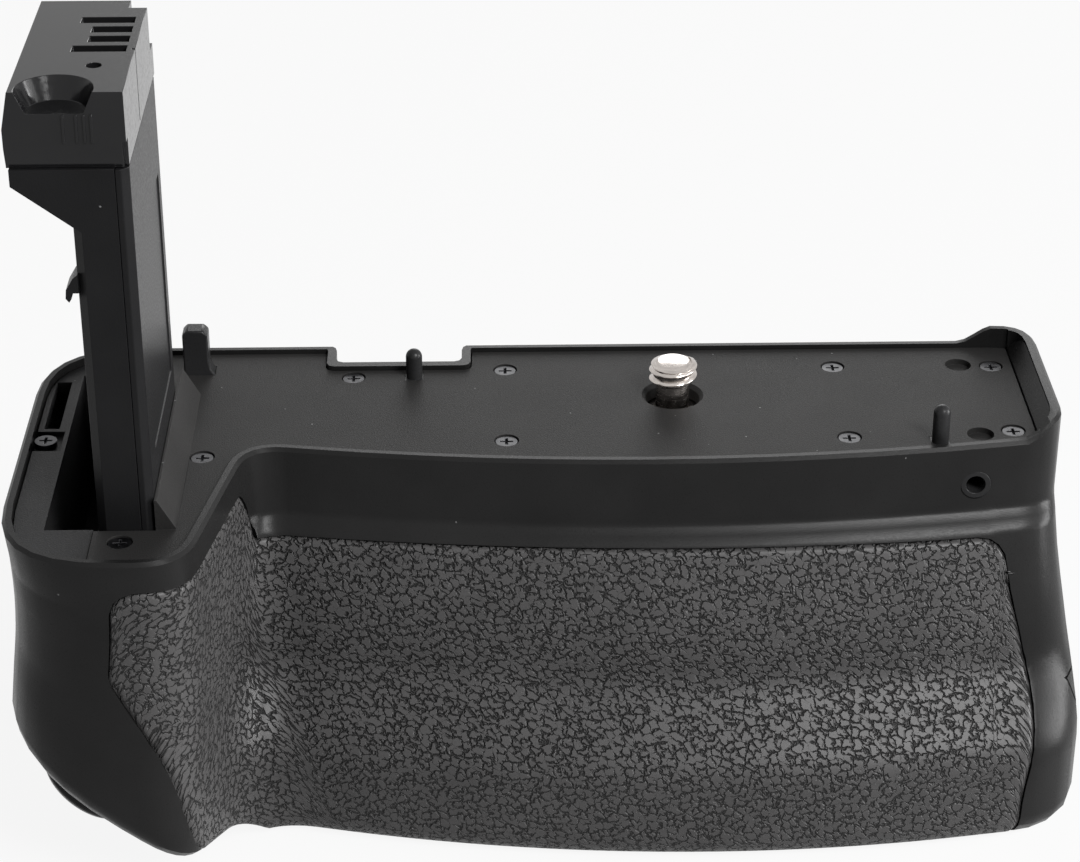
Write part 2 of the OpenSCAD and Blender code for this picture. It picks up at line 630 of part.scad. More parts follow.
pin_r = 1.1;
pin_foot_w = 2 * pin_r + 0.2;
module pin_foot(grow, z0, z1) {
    r = pin_foot_w / 2 + grow;
    box(-r, r, -r, r, z0, z1);
}
module guide_pins() color("#202022") {
    for (pin = [[rear_pin, 4.1], [front_pin, 5.2]]) translate(pin[0]) {
        rod(pin_r, -0.1, pin[1] - pin_r);
        pin_foot(0, -plate_t + 0.02, -0.02);
        translate([0, 0, pin[1] - pin_r]) intersection() {
            sphere(r = pin_r);
            rod(2 * pin_r, 0, 2 * pin_r);
        }
    }
}

// Post that holds the camera's door switch down
post_w = 3.4;
post_t = 2.6;
post_x = tower_x1 + 1.6;
post_y = 8.3;
post_h = 6.5;
post_toe = 0.7;
module door_post() color("#18181a") {
    slab_y(post_y - post_t / 2, post_y + post_t / 2, [[post_x - post_w / 2, -plate_t],
        [post_x + post_w / 2 + post_toe, -plate_t], [post_x + post_w / 2 + post_toe, 0.02],
        [post_x + post_w / 2 + 0.2, 0.8], [post_x + post_w / 2, 2], [post_x + post_w / 2, post_h - 0.6],
        [post_x + post_w / 2 - 0.6, post_h], [post_x - post_w / 2 + 0.6, post_h], [post_x - post_w / 2, post_h - 0.6]]);
}

// Hollow stem of the tower, with the slanted shoulder under its head and a claw on its left face
stem_chamfer = 1.1;
shoulder_h = 7.2;
module stem_plan() {
    polygon([[stem_x0, tower_y0 + stem_chamfer], [stem_x0 + stem_chamfer, tower_y0], [cover_x0 - 0.05, tower_y0],
        [cover_x0 - 0.05, tower_y1], [stem_x0 + stem_chamfer, tower_y1], [stem_x0, tower_y1 - stem_chamfer]]);
}
module tower_body() color("#17171a") difference() {
    union() {
        translate([0, 0, -plate_t - flange_under]) linear_extrude(head_z0 + plate_t + flange_under) stem_plan();
        slab_y(tower_y0, tower_y1, [[stem_x0 + stem_chamfer + 0.1, head_z0], [stem_x0 - head_over + 0.3, head_z0],
            [stem_x0 - head_over + 0.3, head_z0 - 2.1], [stem_x0 + 0.1, head_z0 - shoulder_h],
            [stem_x0 + stem_chamfer + 0.1, head_z0 - shoulder_h - 0.8]]);
        box(stem_x0, tower_x1 + 0.9, tower_y0 - 0.9, tower_y1 + 0.9, -plate_t - flange_under, -plate_t - 0.15);
        slab_y(tower_y0 + 0.4, tower_y0 + 4, [[stem_x0 + 0.1, claw_z + 3.6], [stem_x0 - 0.5, claw_z + 3.1],
            [stem_x0 - 1.4, claw_z + 1.6], [stem_x0 - 1.5, claw_z + 0.5], [stem_x0 - 1.1, claw_z],
            [stem_x0 - 0.8, claw_z + 0.5], [stem_x0 - 0.6, claw_z + 1.2], [stem_x0 + 0.1, claw_z + 1.2]]);
    }
    box(stem_x0 + stem_wall, far, tower_y0 + stem_wall, tower_y1 - stem_wall, stem_wall, head_z0 - stem_wall);
}
claw_z = head_z0 - 17;

module tower_cover() color("#1a1a1d") difference() {
    translate([0, 0, -plate_t - 0.1]) linear_extrude(head_z0 + plate_t + 0.05) polygon([[cover_x0, tower_y0],
        [tower_x1 - 0.9, tower_y0], [tower_x1, tower_y0 + 0.9], [tower_x1, tower_y1 - 0.9],
        [tower_x1 - 0.9, tower_y1], [cover_x0, tower_y1]]);
    box(tower_x1 - 0.2, tower_x1 + over, tower_y0 + 6, tower_y1 - 3, 8, head_z0 - 12);
}

// Glossy head: contact slots, locating hole, scoop and four short ribs
slot_y = tower_y0 + 13.6;
slot_pitch = 3.2;
slot_w = 2;
slot_deep = 5;
slot_x1 = tower_x1 - 1;
slot_long = 6.4;
slot_short = 4.8;
function slot_l(i) = i == 0 || i == 3 ? slot_long : slot_short;
module tower_head() color("#141416") difference() {
    union() {
        slab_y(tower_y0 - 0.2, tower_y1, [[stem_x0 - head_over, head_z0 + 0.05], [stem_x0 - head_over, head_z0 + 5],
            [stem_x0 - head_over + 0.9, tower_h], [tower_x1, tower_h], [tower_x1, head_z0 + 0.05]]);
        for (x = [0, 1.5, 2.4, 3.2]) box(stem_x0 + x - 0.15, stem_x0 + x + 0.15, tower_y0 - 0.45, tower_y0, head_z0 + 3.4, head_z0 + 6.8);
    }
    for (i = [0:3]) box(slot_x1 - slot_l(i), slot_x1, slot_y + i * slot_pitch - slot_w / 2, slot_y + i * slot_pitch + slot_w / 2,
        tower_h - slot_deep, tower_h + over);
    translate([tower_x1 - 4.2, tower_y0 + 8.2, 0]) rod(0.9, tower_h - 2, tower_h + over);
    translate([stem_x0 - 0.9, tower_y0 + 0.8, tower_h - 2.6]) cylinder(r1 = 3.4, r2 = 4.6, h = 2.7);
    box(tower_x1 - 0.4, tower_x1 + over, slot_y - 0.4, slot_y, head_z0 + 0.6, tower_h + over);
    box(tower_x1 - 2.2, tower_x1 + over, tower_y1 - 2.6, tower_y1 + over, head_z0 + 4, tower_h + over);
    box(tower_x1 - 0.5, tower_x1 + over, tower_y0 - over, tower_y0 + 1.2, head_z0 - over, head_z0 + 3.4);
    translate([stem_x0 - head_over - over, 0, 0]) rotate([90, 0, 90]) linear_extrude(head_over + stem_t + 2 * over)
        polygon([[tower_y0 - over, head_z0 - over], [tower_y0 + 0.5, head_z0 - over], [tower_y0 + 0.5, head_z0 + 0.3],
            [tower_y0 - 0.2, head_z0 + 2.6], [tower_y0 - over, head_z0 + 2.6]]);
}

module tower_contacts() color("#c8a24a") for (i = [0:3]) {
    y = slot_y + i * slot_pitch;
    box(slot_x1 - slot_l(i) + 0.5, slot_x1 - 0.5, y - 0.25, y + 0.25, tower_h - slot_deep, tower_h - 1.4);
}

// Captive camera screw: threaded stud, neck, flange and hexagonal drive
module camera_screw() color("#c9c4ba") union() {
    rod(stud_d / 2, 0, stud_h - 0.8);
    translate([0, 0, stud_h - 0.8]) cylinder(r1 = stud_d / 2, r2 = stud_d / 2 - 0.7, h = 0.8);
    rod(stud_d / 2 - 0.8, flange_z, 0);
    rod(flange_r, flange_z - flange_t, flange_z);
    translate([0, 0, hub_z0 + 0.4]) cylinder(d = hex_d, h = flange_z - flange_t - hub_z0 - 0.4, $fn = 6);
}

// Knurled wheel that drives the screw and lets it sink into a cup
knurls = 56;
knurl_deep = 0.7;
module thumbwheel() color("#1f1f22") difference() {
    union() {
        translate([0, 0, wheel_z0]) linear_extrude(wheel_t) polygon([for (i = [0:4 * knurls - 1])
            let(r = wheel_r - (i % 4 < 2 ? 0 : knurl_deep), a = 90 * i / knurls) r * [cos(a), sin(a)]]);
        rod(hub_r, hub_z0, -plate_t - 0.25);
        rod(spindle_r, bridge_z1 - bridge_t - 0.6, hub_z0);
    }
    rod(cup_r, cup_floor, over);
    translate([0, 0, -far / 2]) cylinder(d = hex_d + 0.2, h = far, $fn = 6);
}

module screw_spring() color("#b8b8bc") coil(hex_d / 2 + 0.6, 0.6, 3.5, cup_floor + 0.05, flange_z - flange_t - 0.05);

// Bridge that carries the wheel, hung on four of the seat screws
module wheel_bridge() color("#8d8f93") difference() {
    union() {
        box(-bridge_x - bridge_post_r, bridge_x + bridge_post_r, bridge_y[1] - bridge_post_r, bridge_y[0] + bridge_post_r,
            bridge_z1 - bridge_t, bridge_z1);
        for (at = bridge_screws) translate(at) rod(bridge_post_r, bridge_z1 - bridge_t, -plate_t);
    }
    rod(spindle_r + run_gap, -far, 0);
    for (at = bridge_screws) translate(at) rod(shank_d / 2 + 0.1, -plate_t - screw_l, over);
    for (x = [-1, 1]) translate([x * 14, 0, 0]) rod(3, -far, 0);
}

tripod_r = 6;
module tripod_bush() color("#b9b6ae") difference() {
    rod(tripod_r, -body_h, -body_h + tripod_l - 0.05);
    rod(tripod_d / 2, -body_h - over, 0);
}

module remote_jack() color("#2a2a2d") difference() {
    union() {
        translate([jack_x, jack_face + 0.1, -jack_z]) rotate([-90, 0, 0]) cylinder(d = jack_ring_d, h = jack_l);
        box(jack_x - 3, jack_x + 2.3, jack_face + wall + 0.8, jack_face + jack_l + 1.6, board_z, -plate_t - 0.4);
    }
    translate([jack_x, jack_face - over, -jack_z]) rotate([-90, 0, 0]) cylinder(d = jack_d, h = jack_l + over + 0.1);
}

module circuit_board() color("#1f5a33") difference() {
    union() {
        box(board_x0, board_x1, board_y[0], board_y[1], board_z - board_t, board_z - 0.02);
        box(board_x0 + 6, board_x0 + 14, 2, 8, board_z - 0.1, board_z + 2.4);
        box(board_x0 + 1, board_x0 + 4.6, -2, 4, board_z - 0.1, board_z + 3.2);
    }
    for (at = board_posts) translate(at) rod(shank_d / 2 + 0.2, -far, 0);
    for (at = [post_screws[1], post_screws[2]]) translate(at) rod(3.2, -far, 0);
}

module board_screws() color("#9a9a9e") for (at = board_posts) translate([at[0], at[1], board_z + head_t]) cross_screw();

// Shutter release on the sloped face: collar, button, return spring and switch
module shutter_collar() color("#202023") on_button() rotate_extrude() polygon([[button_d / 2 + 1.6, -collar_sink],
    [collar_d / 2, -collar_sink], [collar_d / 2, collar_h - 0.8], [collar_d / 2 - 0.8, collar_h],
    [button_d / 2 + 0.8, collar_h], [button_d / 2 + 0.15, collar_h - 0.7], [button_d / 2 + 0.15, 0],
    [button_d / 2 + 1.6, 0]]);

module shutter_button() color("#161618") on_button() rotate_extrude() polygon(concat(
    [[0, -button_rest - button_flange], [button_d / 2 + 1.3, -button_rest - button_flange],
        [button_d / 2 + 1.3, -button_rest], [button_d / 2, -button_rest]],
    [for (a = [0:15:90]) [(button_d / 2 - 1.2) * (1 - smooth(a / 90)) + 1.2 * cos(a), collar_h + 0.2 + 0.8 * sin(a)]]));

spring_z0 = -collar_sink - 7 + switch_h;
module shutter_spring() color("#b8b8bc") on_button() coil(3.4, 0.5, 3.5, spring_z0 + 0.05, -button_rest - button_flange - 0.05);

module shutter_switch() color("#6d6f73") on_button() {
    rod(button_d / 2 + 1.4, -well_deep, spring_z0);
    rod(1.4, spring_z0 - 0.2, -button_rest - button_flange - button_travel - 0.2);
}

module power_knob() color("#303034") union() {
    box(power_x - 2, power_x + 2, seat_rear - 1, seat_rear - 0.2, power_z - 2.6, power_z + 2.6);
    for (x = [-1.4, 0, 1.4]) box(power_x + x - 0.4, power_x + x + 0.4, seat_rear - 0.4, seat_rear + 0.5, power_z - 2.4, power_z + 2.4);
    box(power_x - 0.8, power_x + 0.8, seat_rear - 2.6, seat_rear - 0.9, power_z - 1, power_z + 1);
}

module power_switch() color("#77797d") difference() {
    box(power_x - 4.8, power_x + 4.8 + power_travel, seat_rear - 6.3, seat_rear - 1.6, power_z - 1.9, power_z + 1.9);
    box(power_x - 1.2, power_x + 1.2 + power_travel, seat_rear - 3, seat_rear, power_z - 1.3, power_z + 1.3);
}

// Tray for two cells, open on top, with finger cut-outs in its front wall
lock_y = (tray_y0 + tray_y1) / 2;
lock_z = tray_z0 + tray_h / 2;
lock_bite = 1;
lock_r = 2;
tongue_l = bay_z1 + lock_bite - lock_z;
tongue_t = 1.2;
module battery_tray() color("#2a2a2e") difference() {
    box(tray_x0, cap_x0, tray_y0, tray_y1, tray_z0, tray_z1);
    for (i = [0, 1]) let(x = tray_x0 + tray_wall + i * (cell_l + cell_gap + tray_div)) {
        box(x, x + cell_l + cell_gap, tray_y0 + tray_wall, tray_y1 - tray_wall, tray_z0 + tray_wall, tray_z1 + over);
        box(x + cell_l / 2 - 9, x + cell_l / 2 + 9, tray_y0 - over, tray_y0 + tray_wall + over, tray_z0 + tray_h / 2, tray_z1 + over);
    }
    box(tray_x1, cap_x0 + over, lock_y - tongue_l - 1, lock_y + tongue_l + 1, tray_z0 + tray_wall, tray_z1 + over);
    for (y = cap_screw_y) translate([cap_x0 - 5, y, lock_z]) rotate([0, 90, 0]) cylinder(d = shank_d + 0.2, h = 9);
    for (y = contact_y) box(tray_x0 - over, tray_x0 + 0.4, y - 1.2, y + 1.2, tray_z0 + 3, tray_z0 + 9);
}
cap_screw_y = [tray_y0 + 3.2, tray_y1 - 3.2];

// End cap: the piece of the housing's own skin that closes the bay
module tray_cap() color("#1d1d20") difference() {
    intersection() {
        housing();
        box(cap_x0, far, tray_y0, tray_y1, tray_z0, tray_z1);
    }
    translate([cap_x0, lock_y, lock_z]) rotate([0, 90, 0]) {
        rod(lock_r + run_gap, -over, far);
        rod(key_d / 2 + 0.3, cap_t - 1.6, far);
    }
    for (y = cap_screw_y) translate([cap_x0, y, lock_z]) rotate([0, 90, 0]) {
        rod(shank_d / 2 + 0.15, -over, far);
        rod(recess_d / 2, cap_t - 1.4, far);
    }
}

module cap_screws() color("#3a3a3d") for (y = cap_screw_y)
    translate([cap_x0 + cap_t - 1.4 + head_t + 0.02, y, lock_z]) rotate([0, 90, 0]) cross_screw();

// Turn key with its shaft and the tongue that swings up behind the end of the bay
module tray_key() color("#3b3b40") translate([cap_x0, lock_y, lock_z]) {
    rotate([0, 90, 0]) {
        rod(key_d / 2, cap_t - 1.5, cap_t - 0.7);
        rod(lock_r, -lock_room + 0.3, cap_t - 1);
    }
    box(cap_t - 0.8, cap_t + 0.6, -key_d / 2 + 1.2, key_d / 2 - 1.2, -0.9, 0.9);
    box(-lock_room + 0.4, -lock_room + 0.4 + tongue_t, 0, tongue_l, -1.8, 1.8);
}

// Sprung blades on the divider and the end wall that meet the cells
contact_y = [for (i = [-1, 0, 1]) lock_y + 6 * i];
module tray_contacts() color("#c8a24a") for (y = contact_y) {
    box(tray_x0 + 0.02, tray_x0 + 0.35, y - 1, y + 1, tray_z0 + 3.2, tray_z0 + 8.8);
    for (x = [tray_x0 + tray_wall, tray_x0 + 2 * tray_wall + cell_l + cell_gap + tray_div - tray_wall])
        box(x + 0.01, x + 0.25, y - 1, y + 1, tray_z0 + 3, tray_z0 + 9);
}

// Contact block at the closed end of the bay
block_t = 5;
block_y = lock_y;
block_w = 18;
block_h = 9;
module bay_contacts() color("#8a6f2e") {
    box(tray_x0 - slide_gap - block_t + 0.1, tray_x0 - slide_gap, block_y - block_w / 2 + 0.1, block_y + block_w / 2 - 0.1,
        tray_z0 + 2.1, tray_z0 + 1.9 + block_h);
}

main_case();
grip_rubber();
top_plate();
pocket_frame();
plate_screws();
guide_pins();
door_post();
tower_body();
tower_cover();
tower_head();
tower_contacts();
camera_screw();
thumbwheel();
screw_spring();
wheel_bridge();
tripod_bush();
remote_jack();
circuit_board();
board_screws();
shutter_collar();
shutter_button();
shutter_spring();
shutter_switch();
power_knob();
power_switch();
battery_tray();
tray_cap();
tray_contacts();
cap_screws();
tray_key();
bay_contacts();
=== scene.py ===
"""Looks of a camera battery grip, dressed over its solid model."""

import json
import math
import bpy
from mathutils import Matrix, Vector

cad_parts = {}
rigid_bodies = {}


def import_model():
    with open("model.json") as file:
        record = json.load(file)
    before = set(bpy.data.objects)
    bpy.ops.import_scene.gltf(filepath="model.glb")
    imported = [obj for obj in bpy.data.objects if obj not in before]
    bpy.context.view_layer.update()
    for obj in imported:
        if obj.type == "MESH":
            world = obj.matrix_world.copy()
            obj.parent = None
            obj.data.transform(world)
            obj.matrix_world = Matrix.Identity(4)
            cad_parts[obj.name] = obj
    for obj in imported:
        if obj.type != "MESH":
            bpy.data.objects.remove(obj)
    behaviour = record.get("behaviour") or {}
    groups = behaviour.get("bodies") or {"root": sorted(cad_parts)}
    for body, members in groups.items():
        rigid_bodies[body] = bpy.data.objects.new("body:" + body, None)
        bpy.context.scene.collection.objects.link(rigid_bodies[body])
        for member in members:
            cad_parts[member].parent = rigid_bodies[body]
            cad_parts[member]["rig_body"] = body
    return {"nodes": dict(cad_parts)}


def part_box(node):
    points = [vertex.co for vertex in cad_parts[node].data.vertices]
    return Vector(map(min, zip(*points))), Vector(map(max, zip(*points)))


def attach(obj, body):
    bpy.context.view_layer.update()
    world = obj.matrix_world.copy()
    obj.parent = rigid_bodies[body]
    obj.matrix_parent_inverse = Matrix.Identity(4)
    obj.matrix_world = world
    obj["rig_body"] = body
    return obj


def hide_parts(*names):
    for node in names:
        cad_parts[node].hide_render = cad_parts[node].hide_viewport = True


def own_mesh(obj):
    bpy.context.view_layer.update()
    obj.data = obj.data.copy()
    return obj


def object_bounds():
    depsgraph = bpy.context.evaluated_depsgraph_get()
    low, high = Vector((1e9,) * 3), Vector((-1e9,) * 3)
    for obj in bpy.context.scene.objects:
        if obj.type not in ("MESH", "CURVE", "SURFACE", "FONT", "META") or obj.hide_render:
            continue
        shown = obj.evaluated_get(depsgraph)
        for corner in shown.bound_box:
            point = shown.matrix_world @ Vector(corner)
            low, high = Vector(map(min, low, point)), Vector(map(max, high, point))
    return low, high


bl_info = {
    "name": "Camera Battery Grip",
    "version": (1, 0, 0),
    "blender": (4, 5, 0),
    "location": "View3D > Sidebar > Grip",
    "description": "Dresses the solids of a camera battery grip with rubber, moulded plastic and metal",
    "category": "Object",
}

import bmesh
import bpy
import numpy as np
from bpy.props import FloatProperty, FloatVectorProperty, PointerProperty
from bpy.types import Operator, Panel, PropertyGroup
from mathutils import Vector

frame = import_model()
CAD_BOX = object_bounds()
MM = 0.001
BASE_Z = CAD_BOX[0][2]


def colour_property(label, what, value):
    return FloatVectorProperty(name=label, description=what, subtype="COLOR", size=3, min=0, max=1,
                               default=value)


def length_property(label, what, value_mm):
    return FloatProperty(name=label, description=what, unit="LENGTH", precision=5, min=0,
                         default=value_mm * MM)


def share_property(label, what, value):
    return FloatProperty(name=label, description=what, subtype="FACTOR", min=0, max=1, default=value)


def power_property(label, what, value):
    return FloatProperty(name=label, description=what, min=0, default=value)


class GripFinish(PropertyGroup):
    """Colours and gloss of the grip's surfaces"""

    case_colour: colour_property("Housing", "Moulded plastic of the housing", (0.0095, 0.0094, 0.0094))
    case_rough: share_property("Housing roughness", "Roughness of the moulded plastic", 0.31)
    rubber_colour: colour_property("Rubber", "Flat tops of the grained rubber", (0.05, 0.0488, 0.049))
    rubber_rough: share_property("Rubber roughness", "Roughness of the grained rubber", 0.42)
    plate_colour: colour_property("Seat plate", "Matt plastic of the camera seat", (0.016, 0.0156, 0.0154))
    plate_rough: share_property("Seat roughness", "Roughness of the seat plate", 0.55)
    frame_colour: colour_property("Pocket frame", "Plastic of the pocket frame", (0.016, 0.016, 0.0165))
    tower_colour: colour_property("Tower", "Satin plastic of the contact tower", (0.008, 0.008, 0.0084))
    head_colour: colour_property("Tower head", "Polished plastic of the tower's head", (0.008, 0.008, 0.0085))
    steel_colour: colour_property("Nickel", "Plated steel of the camera screw", (0.54, 0.5, 0.47))
    black_screw_colour: colour_property("Black screws", "Blackened screws of the seat", (0.045, 0.045, 0.048))
    contact_colour: colour_property("Contacts", "Gold flash of the contact blades", (0.83, 0.62, 0.26))
    bridge_colour: colour_property("Bridge", "Stamped aluminium under the wheel", (0.55, 0.55, 0.57))
    board_colour: colour_property("Board", "Lacquer of the circuit board", (0.03, 0.17, 0.07))
    inner_colour: colour_property("Switches", "Grey plastic of the hidden switches", (0.24, 0.24, 0.25))
    key_colour: colour_property("Turn key", "Dark grey plastic of the tray's key", (0.05, 0.05, 0.052))


class GripSize(PropertyGroup):
    """Sizes of the grain, the edges and the thread"""

    grain_cell: length_property("Grain cell", "Width of one flat cell of the rubber's grain", 1.15)
    grain_depth: length_property("Grain depth", "Depth of the creases between the cells", 0.42)
    mould_grain: length_property("Mould grain", "Size of the fine grain in the moulded plastic", 0.22)
    edge_round: length_property("Edge round", "Radius on the edges of moulded pieces", 0.22)
    thread_pitch: length_property("Thread pitch", "Pitch of the camera screw's thread", 1.27)


class GripStage(PropertyGroup):
    """Lamps, floor and camera"""

    side_power: power_property("Side lamp", "Power of the low lamp at the right", 14.0)
    top_power: power_property("Top lamp", "Power of the higher lamp at the right", 3.0)
    front_power: power_property("Front lamp", "Power of the small high lamp in front", 13.0)
    back_power: power_property("Back lamp", "Power of the lamp behind", 2.5)
    sky: share_property("Sky", "Strength of the even light all round", 0.03)
    floor_colour: colour_property("Floor", "Pale paper under the object", (0.5, 0.5, 0.5))
    floor_glow: share_property("Floor glow", "How far the floor shows as plain white", 0.9)


# Shape of the housing, in millimetres, as the solid model has it

SEAT_REAR, SEAT_FRONT, SEAT_LEFT = 14.4, 19.1, 84.4
LOBE_FRONT, LOBE_RIGHT = 43.5, 61.0
CORNER_X, CORNER_Y = 55.3, 14.3
BODY_DEPTH, BOTTOM_ROUND = 52.0, 4.0
LEDGE_Z, LEDGE_RUN, LEDGE_OUT = 8.3, 3.1, 2.4
RIDGE_Z, RIDGE_RUN, RIDGE_OUT = 27.0, 13.0, 8.1
SLOPE_OUT, GROOVE_OUT, LOBE_OUT = 3.6, 10.8, 0.9
BELLY_RIGHT, END_FLARE, LEFT_FLARE, LEFT_WAIST = 53.8, 4.0, 0.6, 1.0
SLOPE_TOP, SLOPE_ANGLE = 28.6, math.radians(37.3)
SKIN_RIGHT, SKIN_LEFT, SKIN_THICK = 46.2, 71.8, 1.0
RIM_RIGHT = BELLY_RIGHT - END_FLARE
LEFT_X = -SEAT_LEFT - LEFT_FLARE
WALL_DEPTH = BODY_DEPTH - BOTTOM_ROUND
SWELL_Z = LEDGE_Z + LEDGE_RUN
BELLY_OUT = LEDGE_OUT + SLOPE_OUT + RIDGE_OUT
BOW_SHIFT, BOW_PULL, BOW_KEPT, BOW_OUT = 1, 1.8, 7, 0.4
BOW_X = (RIM_RIGHT - CORNER_X) / 2 - BOW_SHIFT
BOW_Y = CORNER_Y + (SEAT_FRONT - CORNER_Y) * BOW_PULL
BOW_ROUND = min(BOW_X + CORNER_X, RIM_RIGHT - BOW_X) - BOW_KEPT
RIM_CORNERS = [(-SEAT_LEFT, SEAT_REAR), (-SEAT_LEFT, -LOBE_FRONT), (-LOBE_RIGHT, -LOBE_FRONT),
               (-CORNER_X, -CORNER_Y), (BOW_X, -BOW_Y), (RIM_RIGHT, -CORNER_Y), (RIM_RIGHT, SEAT_REAR)]
RIM_ROUNDS = [13, 15, 6, 5, BOW_ROUND, 5, 5.5]
LOBE_SPREAD, GROOVE_SHIFT = 1.9, 0.5
BELLY_CORNERS = [(LEFT_X, SEAT_REAR), (LEFT_X, -LOBE_FRONT - LOBE_OUT),
                 (-LOBE_RIGHT - LOBE_SPREAD, -LOBE_FRONT - LOBE_OUT),
                 (-CORNER_X - GROOVE_SHIFT, -CORNER_Y - GROOVE_OUT), (BOW_X, -BOW_Y - BELLY_OUT - BOW_OUT),
                 (BELLY_RIGHT, -CORNER_Y - BELLY_OUT), (BELLY_RIGHT, SEAT_REAR)]
BELLY_ROUNDS = [13, 14, 5.5, 8, BOW_ROUND - 2, 10.4, 4]
BEND_STEPS = 60
FLARE_REST, WAIST_START, WAIST_RUN = 8, 6, 12

# The rubber panel: how far its side edges move in, from what depth and over what run, then the rest

LEFT_IN, LEFT_IN_Z, LEFT_IN_RUN = 8.6, RIDGE_Z - 6, 20.5
LEFT_FOOT, LEFT_FOOT_Z, LEFT_FOOT_RUN = 2.2, RIDGE_Z + 14, 11
RIGHT_IN, RIGHT_IN_Z, RIGHT_IN_RUN = 5.2, RIDGE_Z - 14, 21
RIGHT_FOOT, RIGHT_FOOT_Z, RIGHT_FOOT_RUN = 1.3, RIDGE_Z + 7, 13
PANEL_SAG, PANEL_LOBE_TOP, PANEL_CORNER, PANEL_WRAP = 0.7, 4.5, 4.6, 4 / 13
PANEL_GAP, FLANK_LEAD, FLANK_RUN, WRAP_SHARE = 0.3, 0.8, 4.4, 0.62
CORNER_COLUMNS, MIDDLE_COLUMNS = 10, 200
PANEL_COLUMNS, PANEL_ROWS, PANEL_WRAP_ROWS = 2 * CORNER_COLUMNS + MIDDLE_COLUMNS, 72, 14
EDGE_DIP, EDGE_RUN, SKIN_PLAY = 0.35, 0.9, 0.1
BELLY_MIDDLE = Vector((0, -30, -40)) * MM


def smooth(t):
    t = np.clip(t, 0, 1)
    return t * t * (3 - 2 * t)


def mix(a, b, t):
    return a + (b - a) * t


def bend(corners, k, reach):
    """A rounded corner of an outline that leaves both legs at a given reach."""
    p0, p1, p2 = (np.array(corners[i], float) for i in (k - 1, k, k + 1))
    a = p1 + (p0 - p1) / np.linalg.norm(p0 - p1) * reach
    b = p1 + (p2 - p1) / np.linalg.norm(p2 - p1) * reach
    t = np.linspace(0, 1, BEND_STEPS + 1)[:, None]
    return (1 - t) ** 2 * a + 2 * t * (1 - t) * p1 + t**2 * b


def front_path(corners, rounds):
    return np.concatenate([bend(corners, k, rounds[k]) for k in range(1, 6)])


RIM_PATH = front_path(RIM_CORNERS, RIM_ROUNDS)
BELLY_PATH = front_path(BELLY_CORNERS, BELLY_ROUNDS)
PATH_LENGTH = np.concatenate([[0], np.cumsum(np.linalg.norm(np.diff(BELLY_PATH, axis=0), axis=1))])
PATH_TANGENT = np.gradient(BELLY_PATH, axis=0)
PATH_IN = np.stack([-PATH_TANGENT[:, 1], PATH_TANGENT[:, 0]], 1)
PATH_IN = PATH_IN / np.linalg.norm(PATH_IN, axis=1)[:, None]


def along(values, s):
    return np.stack([np.interp(s, PATH_LENGTH, values[:, k]) for k in (0, 1)], -1)


def length_at(x):
    return np.interp(x, BELLY_PATH[1:, 0], PATH_LENGTH[1:])


def floor_depth(x):
    return np.minimum(BODY_DEPTH, SLOPE_TOP + np.maximum(0, x - LEFT_X) * math.tan(SLOPE_ANGLE))


def step_out(d):
    swell = np.sin(np.pi / 2 * np.clip((d - SWELL_Z) / (RIDGE_Z - SWELL_Z), 0, 1))
    ledge = LEDGE_OUT * smooth((d - LEDGE_Z) / LEDGE_RUN)
    return (ledge + SLOPE_OUT * swell + RIDGE_OUT * smooth((d - RIDGE_Z) / RIDGE_RUN)) / BELLY_OUT


def wall_point(s, d):
    """Point of the housing's front wall, by length along the belly and by depth."""
    rim, belly, inward = along(RIM_PATH, s), along(BELLY_PATH, s), along(PATH_IN, s)
    flare = smooth((d - LEDGE_Z) / (WALL_DEPTH - LEDGE_Z - FLARE_REST))
    turn = np.pi / 2 * np.clip((d - WALL_DEPTH) / BOTTOM_ROUND, 0, 1)
    k = (floor_depth(belly[..., 0]) - BOTTOM_ROUND) / WALL_DEPTH
    at_left = smooth((-LOBE_RIGHT - WAIST_START - rim[..., 0]) / WAIST_RUN)
    waist = LEFT_WAIST * np.sin(np.pi * np.clip(d / WALL_DEPTH, 0, 1)) * at_left
    x = mix(rim[..., 0], belly[..., 0], flare) + waist
    y = mix(rim[..., 1], belly[..., 1], step_out(d))
    under = belly + inward * (BOTTOM_ROUND * (1 - np.cos(turn)))[..., None]
    z_under = -floor_depth(under[..., 0]) + BOTTOM_ROUND * (1 - np.sin(turn))
    wall = d <= WALL_DEPTH
    return np.stack([np.where(wall, x, under[..., 0]), np.where(wall, y, under[..., 1]),
                     np.where(wall, -d * k, z_under)], -1)


def panel_left(t):
    """Left edge of the rubber, as a length along the belly, by the share of the way down the wall."""
    d = mix(PANEL_LOBE_TOP + PANEL_CORNER, WALL_DEPTH, t)
    foot = LEFT_FOOT * np.clip((d - LEFT_FOOT_Z) / LEFT_FOOT_RUN, 0, 1)
    moved_in = LEFT_IN * smooth((d - LEFT_IN_Z) / LEFT_IN_RUN) + foot
    return length_at(-SKIN_LEFT + moved_in) - panel_swell(t)


def panel_right(t):
    """Right edge of the rubber, likewise."""
    d = mix(SWELL_Z + PANEL_CORNER, WALL_DEPTH, t)
    foot = RIGHT_FOOT * smooth((d - RIGHT_FOOT_Z) / RIGHT_FOOT_RUN)
    moved_in = RIGHT_IN * (1 - smooth((d - RIGHT_IN_Z) / RIGHT_IN_RUN)) + foot
    return length_at(SKIN_RIGHT - moved_in) + panel_swell(t)


def panel_swell(t):
    return PANEL_SAG * np.sin(np.pi * t / (1 + PANEL_WRAP)) / 2


PANEL_START, PANEL_END = panel_left(0.0), panel_right(0.0)
